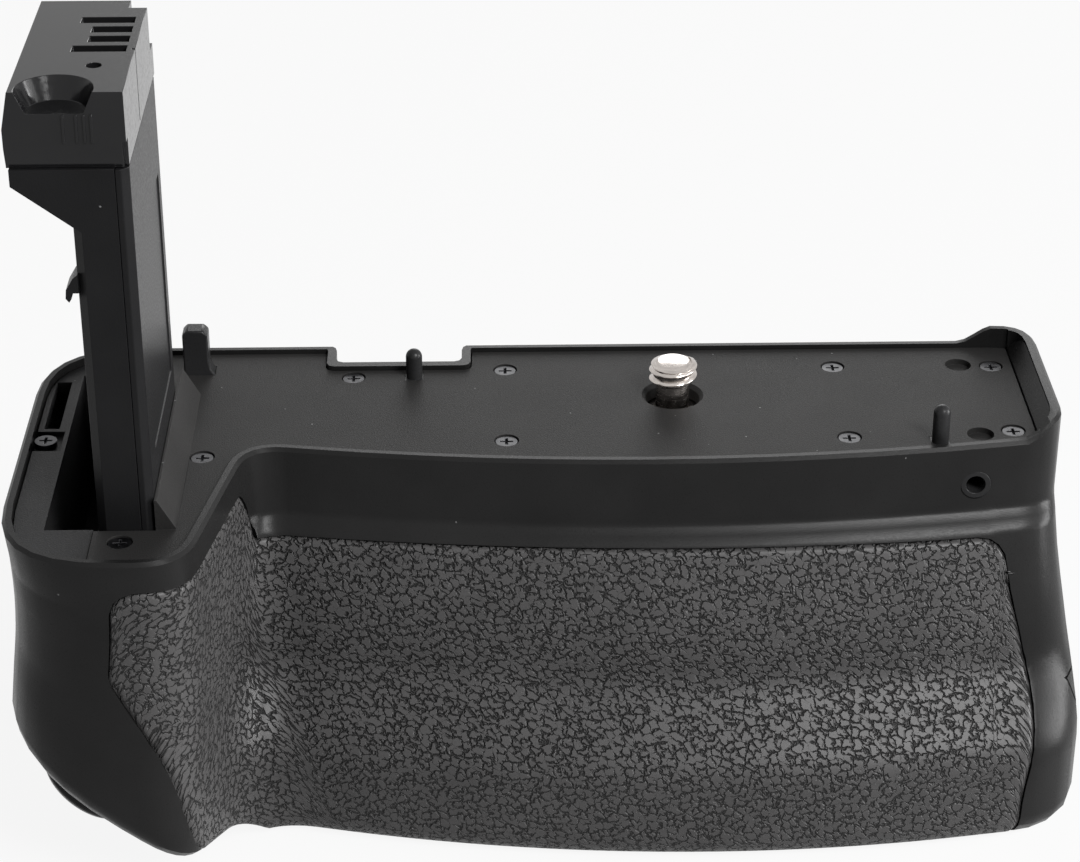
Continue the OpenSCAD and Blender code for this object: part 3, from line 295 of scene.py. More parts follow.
# Columns lie close together round the panel's upper corners
CORNER_TURN = np.linspace(0, np.pi / 2, CORNER_COLUMNS + 1)
CORNER_SHARES = PANEL_CORNER / (PANEL_END - PANEL_START) * (1 - np.cos(CORNER_TURN))
MIDDLE_SHARES = np.linspace(CORNER_SHARES[-1], 1 - CORNER_SHARES[-1], MIDDLE_COLUMNS + 1)
PANEL_SHARES = np.concatenate([CORNER_SHARES[:-1], MIDDLE_SHARES, 1 - CORNER_SHARES[-2::-1]])


def panel_point(u, v):
    """Point of the rubber panel: u from its left to its right edge, v from its top down under the belly."""
    wrap = PANEL_WRAP_ROWS / PANEL_ROWS
    on_wall, under = v / (1 - wrap), (v - 1 + wrap) / wrap
    t = np.where(v < 1 - wrap, on_wall, 1 + under * PANEL_WRAP)
    share = np.interp(u * PANEL_COLUMNS, np.arange(PANEL_COLUMNS + 1), PANEL_SHARES)
    s = mix(panel_left(t), panel_right(t), share)
    bow = PANEL_SAG * np.sin(np.pi * np.clip((s - PANEL_START) / (PANEL_END - PANEL_START), 0, 1))
    x = along(BELLY_PATH, s)[..., 0]
    near_end = np.minimum(PANEL_END - s, s - PANEL_START)
    q = np.clip(1 - near_end / PANEL_CORNER, 0, 1)
    flank = smooth((-x - CORNER_X + FLANK_LEAD) / FLANK_RUN)
    corner = PANEL_CORNER * (1 - np.sqrt(1 - q * q))
    top = mix(SWELL_Z + PANEL_GAP, PANEL_LOBE_TOP, flank) + corner - bow
    low = BOTTOM_ROUND * WRAP_SHARE + bow
    d = np.where(v < 1 - wrap, mix(top, WALL_DEPTH, on_wall), WALL_DEPTH + low * under)
    return wall_point(s, d)


# Making pieces

LATHE_STEPS, SAME_SPOT = 64, 1e-7


def piece_from(bm, name):
    """A new object at the origin that holds this bmesh."""
    mesh = bpy.data.meshes.new(name)
    bm.to_mesh(mesh)
    bm.free()
    piece = bpy.data.objects.new(name, mesh)
    bpy.context.scene.collection.objects.link(piece)
    return piece


def shade(piece, degrees=35):
    """Smooth shading, with sharp edges where the surface turns by more than an angle."""
    piece.data.polygons.foreach_set("use_smooth", [True] * len(piece.data.polygons))
    piece.data.set_sharp_from_angle(angle=math.radians(degrees))


def settle(piece, material, *nodes):
    """Gives a piece its finish and hangs it where the nodes that it stands for are."""
    piece.data.materials.clear()
    piece.data.materials.append(material)
    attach(piece, frame["nodes"][nodes[0]]["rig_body"])
    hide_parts(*nodes)
    return piece


def dressed(node, name, material, edge=0.0, degrees=35, flat_degrees=0.4, weld=0.002):
    """A clean copy of a solid with rounded edges."""
    bm = bmesh.new()
    bm.from_mesh(frame["nodes"][node].data)
    bmesh.ops.remove_doubles(bm, verts=bm.verts, dist=weld * MM)
    if flat_degrees:
        bmesh.ops.dissolve_limit(bm, angle_limit=math.radians(flat_degrees), verts=bm.verts, edges=bm.edges)
    piece = piece_from(bm, name)
    worn_normals = piece.data.attributes.get("custom_normal")
    if worn_normals:
        piece.data.attributes.remove(worn_normals)
    shade(piece, degrees)
    if edge:
        rounding = piece.modifiers.new("Rounded edges", "BEVEL")
        rounding.width = edge
        rounding.segments = 2
        rounding.limit_method = "ANGLE"
        rounding.angle_limit = math.radians(40)
        rounding.use_clamp_overlap = True
    level = piece.modifiers.new("Even shading", "WEIGHTED_NORMAL")
    level.keep_sharp = True
    return settle(piece, material, node)


def lathe(profile):
    """A closed body of revolution about the upright axis from (radius, height) points in millimetres."""
    bm = bmesh.new()
    verts = [bm.verts.new((r * MM, 0, z * MM)) for r, z in profile]
    edges = [bm.edges.new(pair) for pair in zip(verts, verts[1:])]
    bmesh.ops.spin(bm, geom=verts + edges, cent=(0, 0, 0), axis=(0, 0, 1), angle=2 * math.pi,
                   steps=LATHE_STEPS, use_merge=True, use_duplicate=False)
    bmesh.ops.remove_doubles(bm, verts=bm.verts, dist=SAME_SPOT)
    bmesh.ops.recalc_face_normals(bm, faces=bm.faces)
    return bm


# Making finishes: shares of a colour and strays from a roughness, then the rubber's grain

PLASTIC_TONE, PLASTIC_ROUGH = (0.85, 1.2), (-0.06, 0.08)
METAL_TONE, METAL_ROUGH = (0.78, 1.0), (-0.08, 0.1)
DUST_COLOUR = (0.15, 0.15, 0.15)
RUBBER_TONE, RUBBER_SPECULAR = (0.88, 1.12), 0.22
WARP_SCALE, WARP_SHARE = 1050.0, 1.15
GAP_SCALE, GAP_FROM, GAP_TO = 780.0, 0.44, 0.72
CREASE_OPEN, CREASE_SHUT = 0.25, 0.01
# The creases' bottoms take painted shade, a small share of the rubber's colour
CREASE_FROM, CREASE_TO, CREASE_SHADE_SHARE, CREASE_ROUGH = 0.15, 0.6, 0.15, 0.25
FINE_SCALE, FINE_SHARE = 6000.0, 0.03


def link_chain(tree, *pairs):
    for source, target in pairs:
        tree.links.new(source, target)


def node_of(tree, kind, **settings):
    made = tree.nodes.new(kind)
    for key, value in settings.items():
        setattr(made, key, value)
    return made


def group_of(name, inputs, outputs):
    """An empty node group with float sockets."""
    tree = bpy.data.node_groups.new(name, "ShaderNodeTree")
    tree.interface.new_socket("Vector", in_out="INPUT", socket_type="NodeSocketVector")
    for socket, value in inputs:
        tree.interface.new_socket(socket, in_out="INPUT", socket_type="NodeSocketFloat").default_value = value
    for socket in outputs:
        tree.interface.new_socket(socket, in_out="OUTPUT", socket_type="NodeSocketFloat")
    return tree, node_of(tree, "NodeGroupInput"), node_of(tree, "NodeGroupOutput")


def mould_grain_group():
    """Fine pebbled texture that a spark-eroded mould leaves, with a slow change of tone."""
    tree, into, out = group_of("Mould grain", [("Scale", 4000.0)], ["Height", "Tone"])
    fine = node_of(tree, "ShaderNodeTexNoise")
    fine.inputs["Detail"].default_value = 3.0
    fine.inputs["Roughness"].default_value = 0.6
    slow = node_of(tree, "ShaderNodeTexNoise")
    slow.inputs["Scale"].default_value = 90.0
    slow.inputs["Detail"].default_value = 4.0
    link_chain(tree, (into.outputs["Vector"], fine.inputs["Vector"]),
               (into.outputs["Scale"], fine.inputs["Scale"]),
               (into.outputs["Vector"], slow.inputs["Vector"]), (fine.outputs["Fac"], out.inputs["Height"]),
               (slow.outputs["Fac"], out.inputs["Tone"]))
    return tree


def dust_group():
    """Sparse pale specks of dust."""
    tree, into, out = group_of("Dust", [("Scale", 800.0), ("Share", 0.1), ("Size", 0.1)], ["Mask"])
    specks = node_of(tree, "ShaderNodeTexVoronoi", feature="F1")
    chosen = node_of(tree, "ShaderNodeMath", operation="LESS_THAN")
    split = node_of(tree, "ShaderNodeSeparateColor")
    near = node_of(tree, "ShaderNodeMath", operation="LESS_THAN")
    both = node_of(tree, "ShaderNodeMath", operation="MULTIPLY")
    link_chain(tree, (into.outputs["Vector"], specks.inputs["Vector"]),
               (into.outputs["Scale"], specks.inputs["Scale"]),
               (specks.outputs["Distance"], near.inputs[0]), (into.outputs["Size"], near.inputs[1]),
               (specks.outputs["Color"], split.inputs["Color"]), (split.outputs["Red"], chosen.inputs[0]),
               (into.outputs["Share"], chosen.inputs[1]), (near.outputs[0], both.inputs[0]),
               (chosen.outputs[0], both.inputs[1]), (both.outputs[0], out.inputs["Mask"]))
    return tree


GROUPS = {}


def shared_group(key, builder):
    if key not in GROUPS:
        GROUPS[key] = builder()
    return GROUPS[key]


def new_finish(name):
    """A material with its node tree and its shader."""
    material = bpy.data.materials.new(name)
    material.use_nodes = True
    tree = material.node_tree
    shader = next(n for n in tree.nodes if n.type == "BSDF_PRINCIPLED")
    return material, tree, shader


def ramp_of(tree, source, low, high, from_min=0.3, from_max=0.7):
    spread = node_of(tree, "ShaderNodeMapRange")
    spread.inputs["From Min"].default_value = from_min
    spread.inputs["From Max"].default_value = from_max
    spread.inputs["To Min"].default_value = low
    spread.inputs["To Max"].default_value = high
    tree.links.new(source, spread.inputs["Value"])
    return spread.outputs["Result"]


def colour_mix(tree, factor, a, b):
    """Blend of two colours, which are inputs 6 and 7 and output 2 of the mix node."""
    blend = node_of(tree, "ShaderNodeMix", data_type="RGBA")
    tree.links.new(factor, blend.inputs["Factor"])
    for socket, value in ((blend.inputs[6], a), (blend.inputs[7], b)):
        if isinstance(value, bpy.types.NodeSocket):
            tree.links.new(value, socket)
        else:
            socket.default_value = (*value, 1)
    return blend.outputs[2]


def scaled(colour, factor):
    return tuple(min(1.0, c * factor) for c in colour)


def toned(tree, source, colour, shares):
    """A colour that strays between two shares of itself."""
    low, high = (scaled(colour, share) for share in shares)
    return colour_mix(tree, ramp_of(tree, source, 0, 1), low, high)


def roughened(tree, source, rough, strays):
    """A roughness that strays to both sides of its own value."""
    low, high = strays
    return ramp_of(tree, source, rough + low, rough + high)


def moulded(name, colour, rough, grain, bump, dust=0.0, specular=0.11):
    """Moulded plastic: fine grain in the surface, a slow change of tone, and specks of dust."""
    material, tree, shader = new_finish(name)
    place = node_of(tree, "ShaderNodeTexCoord")
    grain_node = node_of(tree, "ShaderNodeGroup", node_tree=shared_group("grain", mould_grain_group))
    grain_node.inputs["Scale"].default_value = 1 / (grain * MM)
    tree.links.new(place.outputs["Object"], grain_node.inputs["Vector"])
    tone = toned(tree, grain_node.outputs["Tone"], colour, PLASTIC_TONE)
    if dust:
        specks = node_of(tree, "ShaderNodeGroup", node_tree=shared_group("dust", dust_group))
        specks.inputs["Share"].default_value = dust
        tree.links.new(place.outputs["Object"], specks.inputs["Vector"])
        tone = colour_mix(tree, specks.outputs["Mask"], tone, DUST_COLOUR)
    bump_node = node_of(tree, "ShaderNodeBump")
    bump_node.inputs["Strength"].default_value = 1.0
    bump_node.inputs["Distance"].default_value = bump * MM
    shader.inputs["Specular IOR Level"].default_value = specular
    uneven = roughened(tree, grain_node.outputs["Height"], rough, PLASTIC_ROUGH)
    link_chain(tree, (tone, shader.inputs["Base Color"]), (uneven, shader.inputs["Roughness"]),
               (grain_node.outputs["Height"], bump_node.inputs["Height"]),
               (bump_node.outputs["Normal"], shader.inputs["Normal"]))
    return material


def metal(name, colour, rough, turned=0.0):
    """Metal with a fine uneven polish."""
    material, tree, shader = new_finish(name)
    place = node_of(tree, "ShaderNodeTexCoord")
    streaks = node_of(tree, "ShaderNodeTexNoise")
    streaks.inputs["Scale"].default_value = 900.0
    streaks.inputs["Detail"].default_value = 4.0
    spread = node_of(tree, "ShaderNodeMapping")
    spread.inputs["Scale"].default_value = (1, 1, 1 + turned)
    shader.inputs["Metallic"].default_value = 1.0
    link_chain(tree, (place.outputs["Object"], spread.inputs["Vector"]),
               (spread.outputs["Vector"], streaks.inputs["Vector"]),
               (toned(tree, streaks.outputs["Fac"], colour, METAL_TONE), shader.inputs["Base Color"]),
               (roughened(tree, streaks.outputs["Fac"], rough, METAL_ROUGH), shader.inputs["Roughness"]))
    return material


def grained_rubber(name, colour, rough, cell, depth):
    """Rubber with flat leather-like cells and narrow creases, laid out on the panel's own lengths; the
    creases' bottoms are darkened as painted shade.
    """
    material, tree, shader = new_finish(name)
    place = node_of(tree, "ShaderNodeTexCoord")
    shader.inputs["Specular IOR Level"].default_value = RUBBER_SPECULAR
    warp = node_of(tree, "ShaderNodeTexNoise", noise_dimensions="2D")
    warp.inputs["Scale"].default_value = WARP_SCALE
    warp.inputs["Detail"].default_value = 2.0
    centred = node_of(tree, "ShaderNodeVectorMath", operation="SUBTRACT")
    centred.inputs[1].default_value = (0.5, 0.5, 0.5)
    shift = node_of(tree, "ShaderNodeVectorMath", operation="SCALE")
    shift.inputs["Scale"].default_value = WARP_SHARE * cell
    moved = node_of(tree, "ShaderNodeVectorMath", operation="ADD")
    cells = node_of(tree, "ShaderNodeTexVoronoi", voronoi_dimensions="2D", feature="DISTANCE_TO_EDGE")
    cells.inputs["Scale"].default_value = 1 / cell
    cells.inputs["Randomness"].default_value = 1.0
    gaps = node_of(tree, "ShaderNodeTexNoise", noise_dimensions="2D")
    gaps.inputs["Scale"].default_value = GAP_SCALE
    gaps.inputs["Detail"].default_value = 1.0
    link_chain(tree, (place.outputs["UV"], warp.inputs["Vector"]), (warp.outputs["Color"], centred.inputs[0]),
               (centred.outputs["Vector"], shift.inputs[0]), (place.outputs["UV"], moved.inputs[0]),
               (shift.outputs["Vector"], moved.inputs[1]), (moved.outputs["Vector"], cells.inputs["Vector"]),
               (place.outputs["UV"], gaps.inputs["Vector"]))
    # A crease closes where the slow noise is high, so some creases run out
    width = ramp_of(tree, gaps.outputs["Fac"], CREASE_OPEN, CREASE_SHUT, GAP_FROM, GAP_TO)
    ratio = node_of(tree, "ShaderNodeMath", operation="DIVIDE")
    link_chain(tree, (cells.outputs["Distance"], ratio.inputs[0]), (width, ratio.inputs[1]))
    top = node_of(tree, "ShaderNodeMapRange", interpolation_type="SMOOTHSTEP")
    tree.links.new(ratio.outputs[0], top.inputs["Value"])
    grain_node = node_of(tree, "ShaderNodeGroup", node_tree=shared_group("grain", mould_grain_group))
    grain_node.inputs["Scale"].default_value = FINE_SCALE
    tree.links.new(place.outputs["Object"], grain_node.inputs["Vector"])
    height = node_of(tree, "ShaderNodeMath", operation="MULTIPLY_ADD")
    height.inputs[1].default_value = FINE_SHARE
    link_chain(tree, (grain_node.outputs["Height"], height.inputs[0]),
               (top.outputs["Result"], height.inputs[2]))
    bump_node = node_of(tree, "ShaderNodeBump")
    bump_node.inputs["Distance"].default_value = depth
    tone = toned(tree, grain_node.outputs["Tone"], colour, RUBBER_TONE)
    # Painted shade: the crease bottoms are darkened to a small share of the rubber's colour
    raised = ramp_of(tree, ratio.outputs[0], 0, 1, CREASE_FROM, CREASE_TO)
    crease_shaded_colour = colour_mix(tree, raised, scaled(colour, CREASE_SHADE_SHARE), tone)
    uneven = ramp_of(tree, ratio.outputs[0], rough + CREASE_ROUGH, rough, CREASE_FROM, CREASE_TO)
    link_chain(tree, (height.outputs[0], bump_node.inputs["Height"]),
               (bump_node.outputs["Normal"], shader.inputs["Normal"]),
               (crease_shaded_colour, shader.inputs["Base Color"]), (uneven, shader.inputs["Roughness"]))
    return material


FINISHES = {}


def finish(key):
    """The material for a kind of surface, made once."""
    if key not in FINISHES:
        look = bpy.context.scene.grip_finish
        size = bpy.context.scene.grip_size
        mould = size.mould_grain / MM
        makers = {
            "case": lambda: moulded("Moulded housing", look.case_colour, look.case_rough, grain=mould,
                                    bump=0.014, dust=0.012),
            "rubber": lambda: grained_rubber("Grained rubber", look.rubber_colour, look.rubber_rough,
                                             size.grain_cell, size.grain_depth),
            "plate": lambda: moulded("Plate plastic", look.plate_colour, look.plate_rough, grain=mould,
                                     bump=0.05, dust=0.06),
            "frame": lambda: moulded("Frame plastic", look.frame_colour, rough=0.5, grain=mould,
                                     bump=0.04, dust=0.02),
            "tower": lambda: moulded("Tower plastic", look.tower_colour, rough=0.34, grain=0.3,
                                     bump=0.02, dust=0.015, specular=0.08),
            "head": lambda: moulded("Polished head", look.head_colour, rough=0.14, grain=0.5,
                                    bump=0.004, dust=0.02, specular=0.22),
            "pin": lambda: moulded("Pin plastic", look.frame_colour, rough=0.3, grain=0.3, bump=0.02),
            "button": lambda: moulded("Polished button", look.head_colour, rough=0.18, grain=0.5, bump=0.006),
            "wheel": lambda: moulded("Wheel rubber", look.case_colour, rough=0.6, grain=0.3, bump=0.05),
            "tray": lambda: moulded("Tray plastic", look.plate_colour, rough=0.4, grain=0.3, bump=0.03),
            "key": lambda: moulded("Key plastic", look.key_colour, rough=0.4, grain=0.3, bump=0.03),
            "inner": lambda: moulded("Switch plastic", look.inner_colour, rough=0.5, grain=0.3, bump=0.03),
            "board": lambda: moulded("Board lacquer", look.board_colour, rough=0.3, grain=0.4, bump=0.01),
            "steel": lambda: metal("Nickel plate", look.steel_colour, rough=0.2, turned=6.0),
            "spring": lambda: metal("Drawn wire", look.bridge_colour, rough=0.3),
            "black_screw": lambda: metal("Blackened screw", look.black_screw_colour, rough=0.34),
            "contact": lambda: metal("Gold flash", look.contact_colour, rough=0.25),
            "bridge": lambda: metal("Stamped aluminium", look.bridge_colour, rough=0.38),
        }
        FINISHES[key] = makers[key]()
    return FINISHES[key]


class GRIP_OT_housing(Operator):
    """Dress the moulded housing"""

    bl_idname = "grip.housing"
    bl_label = "Housing"

    def execute(self, context):
        dressed("main_case", "housing", finish("case"), degrees=28, flat_degrees=0, weld=0.04)
        return {"FINISHED"}


class GRIP_OT_rubber(Operator):
    """Lay the grained rubber panel into the housing"""

    bl_idname = "grip.rubber"
    bl_label = "Rubber panel"

    def execute(self, context):
        bm = bmesh.new()
        bmesh.ops.create_grid(bm, x_segments=PANEL_COLUMNS, y_segments=PANEL_ROWS, size=0.5)
        bm.verts.ensure_lookup_table()
        flat = np.array([v.co for v in bm.verts])
        u, v = flat[:, 0] + 0.5, 0.5 - flat[:, 1]
        step = 2e-3
        here = panel_point(u, v)
        across = panel_point(np.clip(u + step, 0, 1), v) - panel_point(np.clip(u - step, 0, 1), v)
        down = panel_point(u, np.clip(v + step, 0, 1)) - panel_point(u, np.clip(v - step, 0, 1))
        out = np.cross(down, across)
        out = out / np.linalg.norm(out, axis=1)[:, None]
        # Lengths over the surface, for the grain and for the rounded edge
        columns, rows = np.rint(u * PANEL_COLUMNS).astype(int), np.rint(v * PANEL_ROWS).astype(int)
        net = np.zeros((PANEL_ROWS + 1, PANEL_COLUMNS + 1, 3))
        net[rows, columns] = here
        run = np.linalg.norm(np.diff(net, axis=1), axis=2).cumsum(axis=1)
        drop = np.linalg.norm(np.diff(net, axis=0), axis=2).cumsum(axis=0)
        run = np.concatenate([np.zeros((PANEL_ROWS + 1, 1)), run], axis=1)
        drop = np.concatenate([np.zeros((1, PANEL_COLUMNS + 1)), drop], axis=0)
        spread = np.minimum.reduce([run, run[:, -1:] - run, drop, drop[-1:] - drop])[rows, columns]
        rounded = here - out * (EDGE_DIP * (1 - smooth(spread / EDGE_RUN)))[:, None]
        run = run - run[:, PANEL_COLUMNS // 2:PANEL_COLUMNS // 2 + 1]
        for vert, place in zip(bm.verts, rounded):
            vert.co = Vector(place) * MM
        laid = bm.loops.layers.uv.new("Surface lengths")
        for face in bm.faces:
            for loop in face.loops:
                k = loop.vert.index
                loop[laid].uv = (run[rows[k], columns[k]] * MM, drop[rows[k], columns[k]] * MM)
        bmesh.ops.recalc_face_normals(bm, faces=bm.faces)
        middle = min(bm.faces, key=lambda f: (f.calc_center_median() - BELLY_MIDDLE).length)
        if middle.normal.y > 0:
            bmesh.ops.reverse_faces(bm, faces=bm.faces)
        piece = piece_from(bm, "grip_panel")
        thick = piece.modifiers.new("Thickness", "SOLIDIFY")
        thick.thickness = (SKIN_THICK - SKIN_PLAY) * MM
        thick.offset = -1
        shade(piece, degrees=50)
        settle(piece, finish("rubber"), "grip_rubber")
        return {"FINISHED"}


class GRIP_OT_seat(Operator):
    """Dress the camera seat with its plate, frame, pins and screws"""

    bl_idname = "grip.seat"
    bl_label = "Camera seat"

    def execute(self, context):
        edge = context.scene.grip_size.edge_round
        dressed("top_plate", "camera_plate", finish("plate"), edge)
        dressed("pocket_frame", "door_pocket", finish("frame"), edge)
        dressed("guide_pins", "locating_pins", finish("pin"), edge / 2)
        dressed("door_post", "switch_post", finish("pin"), edge)
        dressed("plate_screws", "plate_fixings", finish("black_screw"), edge / 3)
        return {"FINISHED"}


class GRIP_OT_tower(Operator):
    """Dress the contact tower"""

    bl_idname = "grip.tower"
    bl_label = "Contact tower"

    def execute(self, context):
        edge = context.scene.grip_size.edge_round
        dressed("tower_body", "tower_stem", finish("tower"), edge)
        dressed("tower_cover", "tower_side", finish("tower"), edge)
        dressed("tower_head", "tower_top", finish("head"), edge / 2)
        dressed("tower_contacts", "tower_blades", finish("contact"), edge / 4)
        return {"FINISHED"}


# The camera screw in millimetres, as radius and height: shank, tip below its top, ridge of the thread

FLANGE_LOW, DRIVE_RADIUS = -3.4, 3
SCREW_SHANK = [(0, FLANGE_LOW), (4.5, FLANGE_LOW), (4.7, -3.2), (4.7, -2.4), (4.5, -2.2), (2.2, -2.2),
               (2.15, 1.9), (2.6, 2.3)]
SCREW_TIP = [(2.6, -0.75), (2.86, -0.62), (2.92, -0.5), (2.1, -0.06), (1.9, 0), (0, 0)]
THREAD_RIDGE = [(2.4, -0.52), (3.1, -0.11), (3.17, 0), (3.1, 0.11), (2.4, 0.52)]
THREAD_Z, THREAD_FIRST, THREAD_TURNS, THREAD_STEPS = 3.2, math.radians(-230), 1.72, 90


class GRIP_OT_screw(Operator):
    """Cut the camera screw's thread and dress its wheel, spring, bridge and the tripod bush"""

    bl_idname = "grip.screw"
    bl_label = "Camera screw"

    def execute(self, context):
        size = context.scene.grip_size
        low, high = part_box("camera_screw")
        top = high.z / MM
        bm = lathe(SCREW_SHANK + [(r, top + z) for r, z in SCREW_TIP])
        drive = bmesh.ops.create_cone(bm, cap_ends=True, segments=6, radius1=DRIVE_RADIUS * MM,
                                      radius2=DRIVE_RADIUS * MM, depth=FLANGE_LOW * MM - low.z)
        bmesh.ops.translate(bm, verts=drive["verts"], vec=(0, 0, (low.z + FLANGE_LOW * MM) / 2))
        # One thread ridge, wound at the pitch
        pitch = size.thread_pitch / MM
        start = THREAD_Z + pitch * THREAD_FIRST / (2 * math.pi)
        to_x, to_y = math.cos(THREAD_FIRST), math.sin(THREAD_FIRST)
        verts = [bm.verts.new((r * MM * to_x, r * MM * to_y, (start + z) * MM)) for r, z in THREAD_RIDGE]
        loop = [bm.edges.new((verts[i - 1], verts[i])) for i in range(len(verts))]
        bmesh.ops.spin(bm, geom=verts + loop, cent=(0, 0, 0), axis=(0, 0, 1),
                       dvec=(0, 0, pitch * THREAD_TURNS / THREAD_STEPS * MM),
                       angle=2 * math.pi * THREAD_TURNS, steps=THREAD_STEPS,
                       use_merge=False, use_duplicate=False)
        bmesh.ops.holes_fill(bm, edges=[e for e in bm.edges if e.is_boundary], sides=len(THREAD_RIDGE))
        bmesh.ops.recalc_face_normals(bm, faces=bm.faces)
        piece = piece_from(bm, "mounting_screw")
        shade(piece, degrees=40)
        settle(piece, finish("steel"), "camera_screw")
        dressed("thumbwheel", "screw_wheel", finish("wheel"), size.edge_round / 2)
        coil = dressed("screw_spring", "wheel_spring", finish("spring"), degrees=60, flat_degrees=0)
        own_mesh(coil)
        dressed("wheel_bridge", "wheel_bridge_plate", finish("bridge"), size.edge_round / 2)
        dressed("tripod_bush", "tripod_socket", finish("steel"), size.edge_round / 2)
        return {"FINISHED"}


class GRIP_OT_controls(Operator):
    """Dress the shutter release, the power slide, the remote jack and its board"""

    bl_idname = "grip.controls"
    bl_label = "Controls"

    def execute(self, context):
        edge = context.scene.grip_size.edge_round
        dressed("shutter_collar", "release_collar", finish("case"), edge)
        dressed("shutter_button", "release_button", finish("button"), edge)
        coil = dressed("shutter_spring", "release_spring", finish("spring"), degrees=60, flat_degrees=0)
        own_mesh(coil)
        dressed("shutter_switch", "release_switch", finish("inner"), edge / 2)
        dressed("power_knob", "power_thumb", finish("pin"), edge / 2)
        dressed("power_switch", "power_contact", finish("inner"), edge / 2)
        dressed("remote_jack", "release_jack", finish("pin"), edge / 3)
        dressed("circuit_board", "jack_board", finish("board"), edge / 3)
        dressed("board_screws", "jack_board_screws", finish("spring"), edge / 4)
        return {"FINISHED"}


class GRIP_OT_tray(Operator):
    """Dress the battery tray with its cap, key and contacts"""

    bl_idname = "grip.tray"
    bl_label = "Battery tray"

    def execute(self, context):
        edge = context.scene.grip_size.edge_round
        dressed("battery_tray", "cell_tray", finish("tray"), edge)
        dressed("tray_cap", "tray_end", finish("case"), edge / 2, degrees=28)
        dressed("tray_contacts", "tray_blades", finish("contact"), edge / 5)
        dressed("cap_screws", "tray_screws", finish("black_screw"), edge / 4)
        dressed("tray_key", "tray_turn_key", finish("key"), edge)
        dressed("bay_contacts", "bay_block", finish("contact"), edge / 2)
        return {"FINISHED"}


# The photograph's camera, in the part's own frame

CAMERA_AT = (-0.02456, -0.33569, 0.17549)
CAMERA_PITCH = math.radians(28.3)
CAMERA_YAW = math.radians(1.19)
CAMERA_LENS, CAMERA_SENSOR = 95.17, 36

# Floor and lamps, in metres

FLOOR_HALF, FLOOR_GAP, FLOOR_ROUGH = 3.0, 0.0002, 0.9
LAMP_AIM, LAMP_SIZE, FRONT_LAMP_SIZE = (0, -0.01, -0.01), 0.5, 0.35
WHITE = (1, 1, 1, 1)


def lamp(name, place, size, power):
    """A lamp that shines at the part."""
    data = bpy.data.lights.new(name, "AREA")
    data.shape = "RECTANGLE"
    data.size = data.size_y = size
    data.energy = power
    made = bpy.data.objects.new(name, data)
    made.location = place
    made.rotation_euler = (Vector(LAMP_AIM) - Vector(place)).to_track_quat("-Z", "Y").to_euler()
    bpy.context.scene.collection.objects.link(made)


def seen_rays(tree):
    """One for rays from the camera, from glossy surfaces and through clear ones, nought for the rest."""
    rays = node_of(tree, "ShaderNodeLightPath")
    seen = node_of(tree, "ShaderNodeMath", operation="MAXIMUM")
    either = node_of(tree, "ShaderNodeMath", operation="MAXIMUM")
    link_chain(tree, (rays.outputs["Is Camera Ray"], seen.inputs[0]),
               (rays.outputs["Is Glossy Ray"], seen.inputs[1]), (seen.outputs[0], either.inputs[0]),
               (rays.outputs["Is Transmission Ray"], either.inputs[1]))
    return either.outputs[0]


def lay_floor(stage):
    """Pale paper that shows as nearly plain white."""
    bm = bmesh.new()
    bmesh.ops.create_grid(bm, x_segments=2, y_segments=2, size=FLOOR_HALF)
    bmesh.ops.translate(bm, verts=bm.verts, vec=(0, 0, BASE_Z - FLOOR_GAP))
    floor = piece_from(bm, "floor")
    material, tree, shader = new_finish("Pale paper")
    shader.inputs["Base Color"].default_value = (*stage.floor_colour, 1)
    shader.inputs["Roughness"].default_value = FLOOR_ROUGH
    white = node_of(tree, "ShaderNodeEmission")
    white.inputs["Color"].default_value = WHITE
    white.inputs["Strength"].default_value = 1.0
    part = node_of(tree, "ShaderNodeMath", operation="MULTIPLY")
    part.inputs[1].default_value = stage.floor_glow
    choose = node_of(tree, "ShaderNodeMixShader")
    output = next(n for n in tree.nodes if n.type == "OUTPUT_MATERIAL")
    link_chain(tree, (seen_rays(tree), part.inputs[0]), (part.outputs[0], choose.inputs["Fac"]),
               (shader.outputs[0], choose.inputs[1]), (white.outputs[0], choose.inputs[2]),
               (choose.outputs[0], output.inputs["Surface"]))
    floor.data.materials.append(material)


def light_sky(scene, strength):
    """Weak even light all round that shows as plain white."""
    world = bpy.data.worlds.new("Even sky")
    scene.world = world
    world.use_nodes = True
    tree = world.node_tree
    sky = next(n for n in tree.nodes if n.type == "BACKGROUND")
    sky.inputs["Color"].default_value = WHITE
    shown = ramp_of(tree, seen_rays(tree), strength, 1.0, from_min=0, from_max=1)
    tree.links.new(shown, sky.inputs["Strength"])


def set_camera(scene):
    data = bpy.data.cameras.new("Photo camera")
    data.sensor_fit = "HORIZONTAL"
    data.sensor_width = CAMERA_SENSOR
    data.lens = CAMERA_LENS
    camera = bpy.data.objects.new("Photo camera", data)
    camera.location = CAMERA_AT
    camera.rotation_euler = (math.pi / 2 - CAMERA_PITCH, 0, -CAMERA_YAW)
    scene.collection.objects.link(camera)
    scene.camera = camera


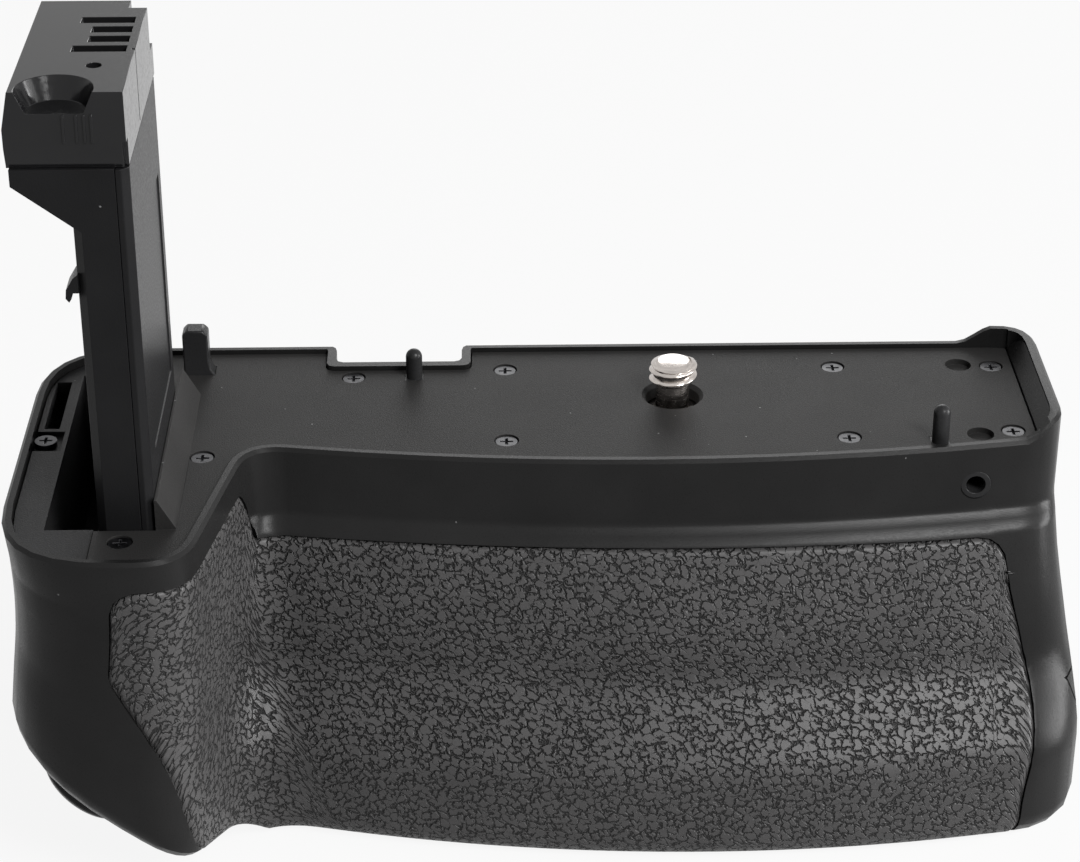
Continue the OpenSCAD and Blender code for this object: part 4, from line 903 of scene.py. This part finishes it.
class GRIP_OT_stage(Operator):
    """Set the floor, the lamps, the sky and the camera"""

    bl_idname = "grip.stage"
    bl_label = "Stage"

    def execute(self, context):
        scene = context.scene
        stage = scene.grip_stage
        lay_floor(stage)
        lamp("Side lamp", (1.0, -0.1, 0.1), LAMP_SIZE, stage.side_power)
        lamp("Top lamp", (0.9, -0.15, 0.4), LAMP_SIZE, stage.top_power)
        lamp("Front lamp", (0.42, -0.66, 0.68), FRONT_LAMP_SIZE, stage.front_power)
        lamp("Back lamp", (0.1, 0.95, 0.35), LAMP_SIZE, stage.back_power)
        light_sky(scene, stage.sky)
        set_camera(scene)
        scene.view_settings.view_transform = "Standard"
        return {"FINISHED"}


OPERATORS = (GRIP_OT_housing, GRIP_OT_rubber, GRIP_OT_seat, GRIP_OT_tower, GRIP_OT_screw, GRIP_OT_controls,
             GRIP_OT_tray, GRIP_OT_stage)


class GRIP_PT_panel(Panel):
    """Lists the grip's pieces and their settings"""

    bl_idname = "GRIP_PT_panel"
    bl_label = "Camera battery grip"
    bl_space_type = "VIEW_3D"
    bl_region_type = "UI"
    bl_category = "Grip"

    def draw(self, context):
        for operator in OPERATORS:
            self.layout.operator(operator.bl_idname)
        for group in (context.scene.grip_finish, context.scene.grip_size, context.scene.grip_stage):
            box = self.layout.box()
            for key in group.__annotations__:
                box.prop(group, key)


GROUP_OF_SCENE = {"grip_finish": GripFinish, "grip_size": GripSize, "grip_stage": GripStage}
CLASSES = (*GROUP_OF_SCENE.values(), *OPERATORS, GRIP_PT_panel)


def register():
    for made in CLASSES:
        bpy.utils.register_class(made)
    for key, group in GROUP_OF_SCENE.items():
        setattr(bpy.types.Scene, key, PointerProperty(type=group))


def unregister():
    for key in GROUP_OF_SCENE:
        delattr(bpy.types.Scene, key)
    for made in reversed(CLASSES):
        bpy.utils.unregister_class(made)


def main():
    register()
    bpy.ops.grip.stage()
    bpy.ops.grip.housing()
    bpy.ops.grip.rubber()
    bpy.ops.grip.seat()
    bpy.ops.grip.tower()
    bpy.ops.grip.screw()
    bpy.ops.grip.controls()
    bpy.ops.grip.tray()


if __name__ == "__main__":
    main()
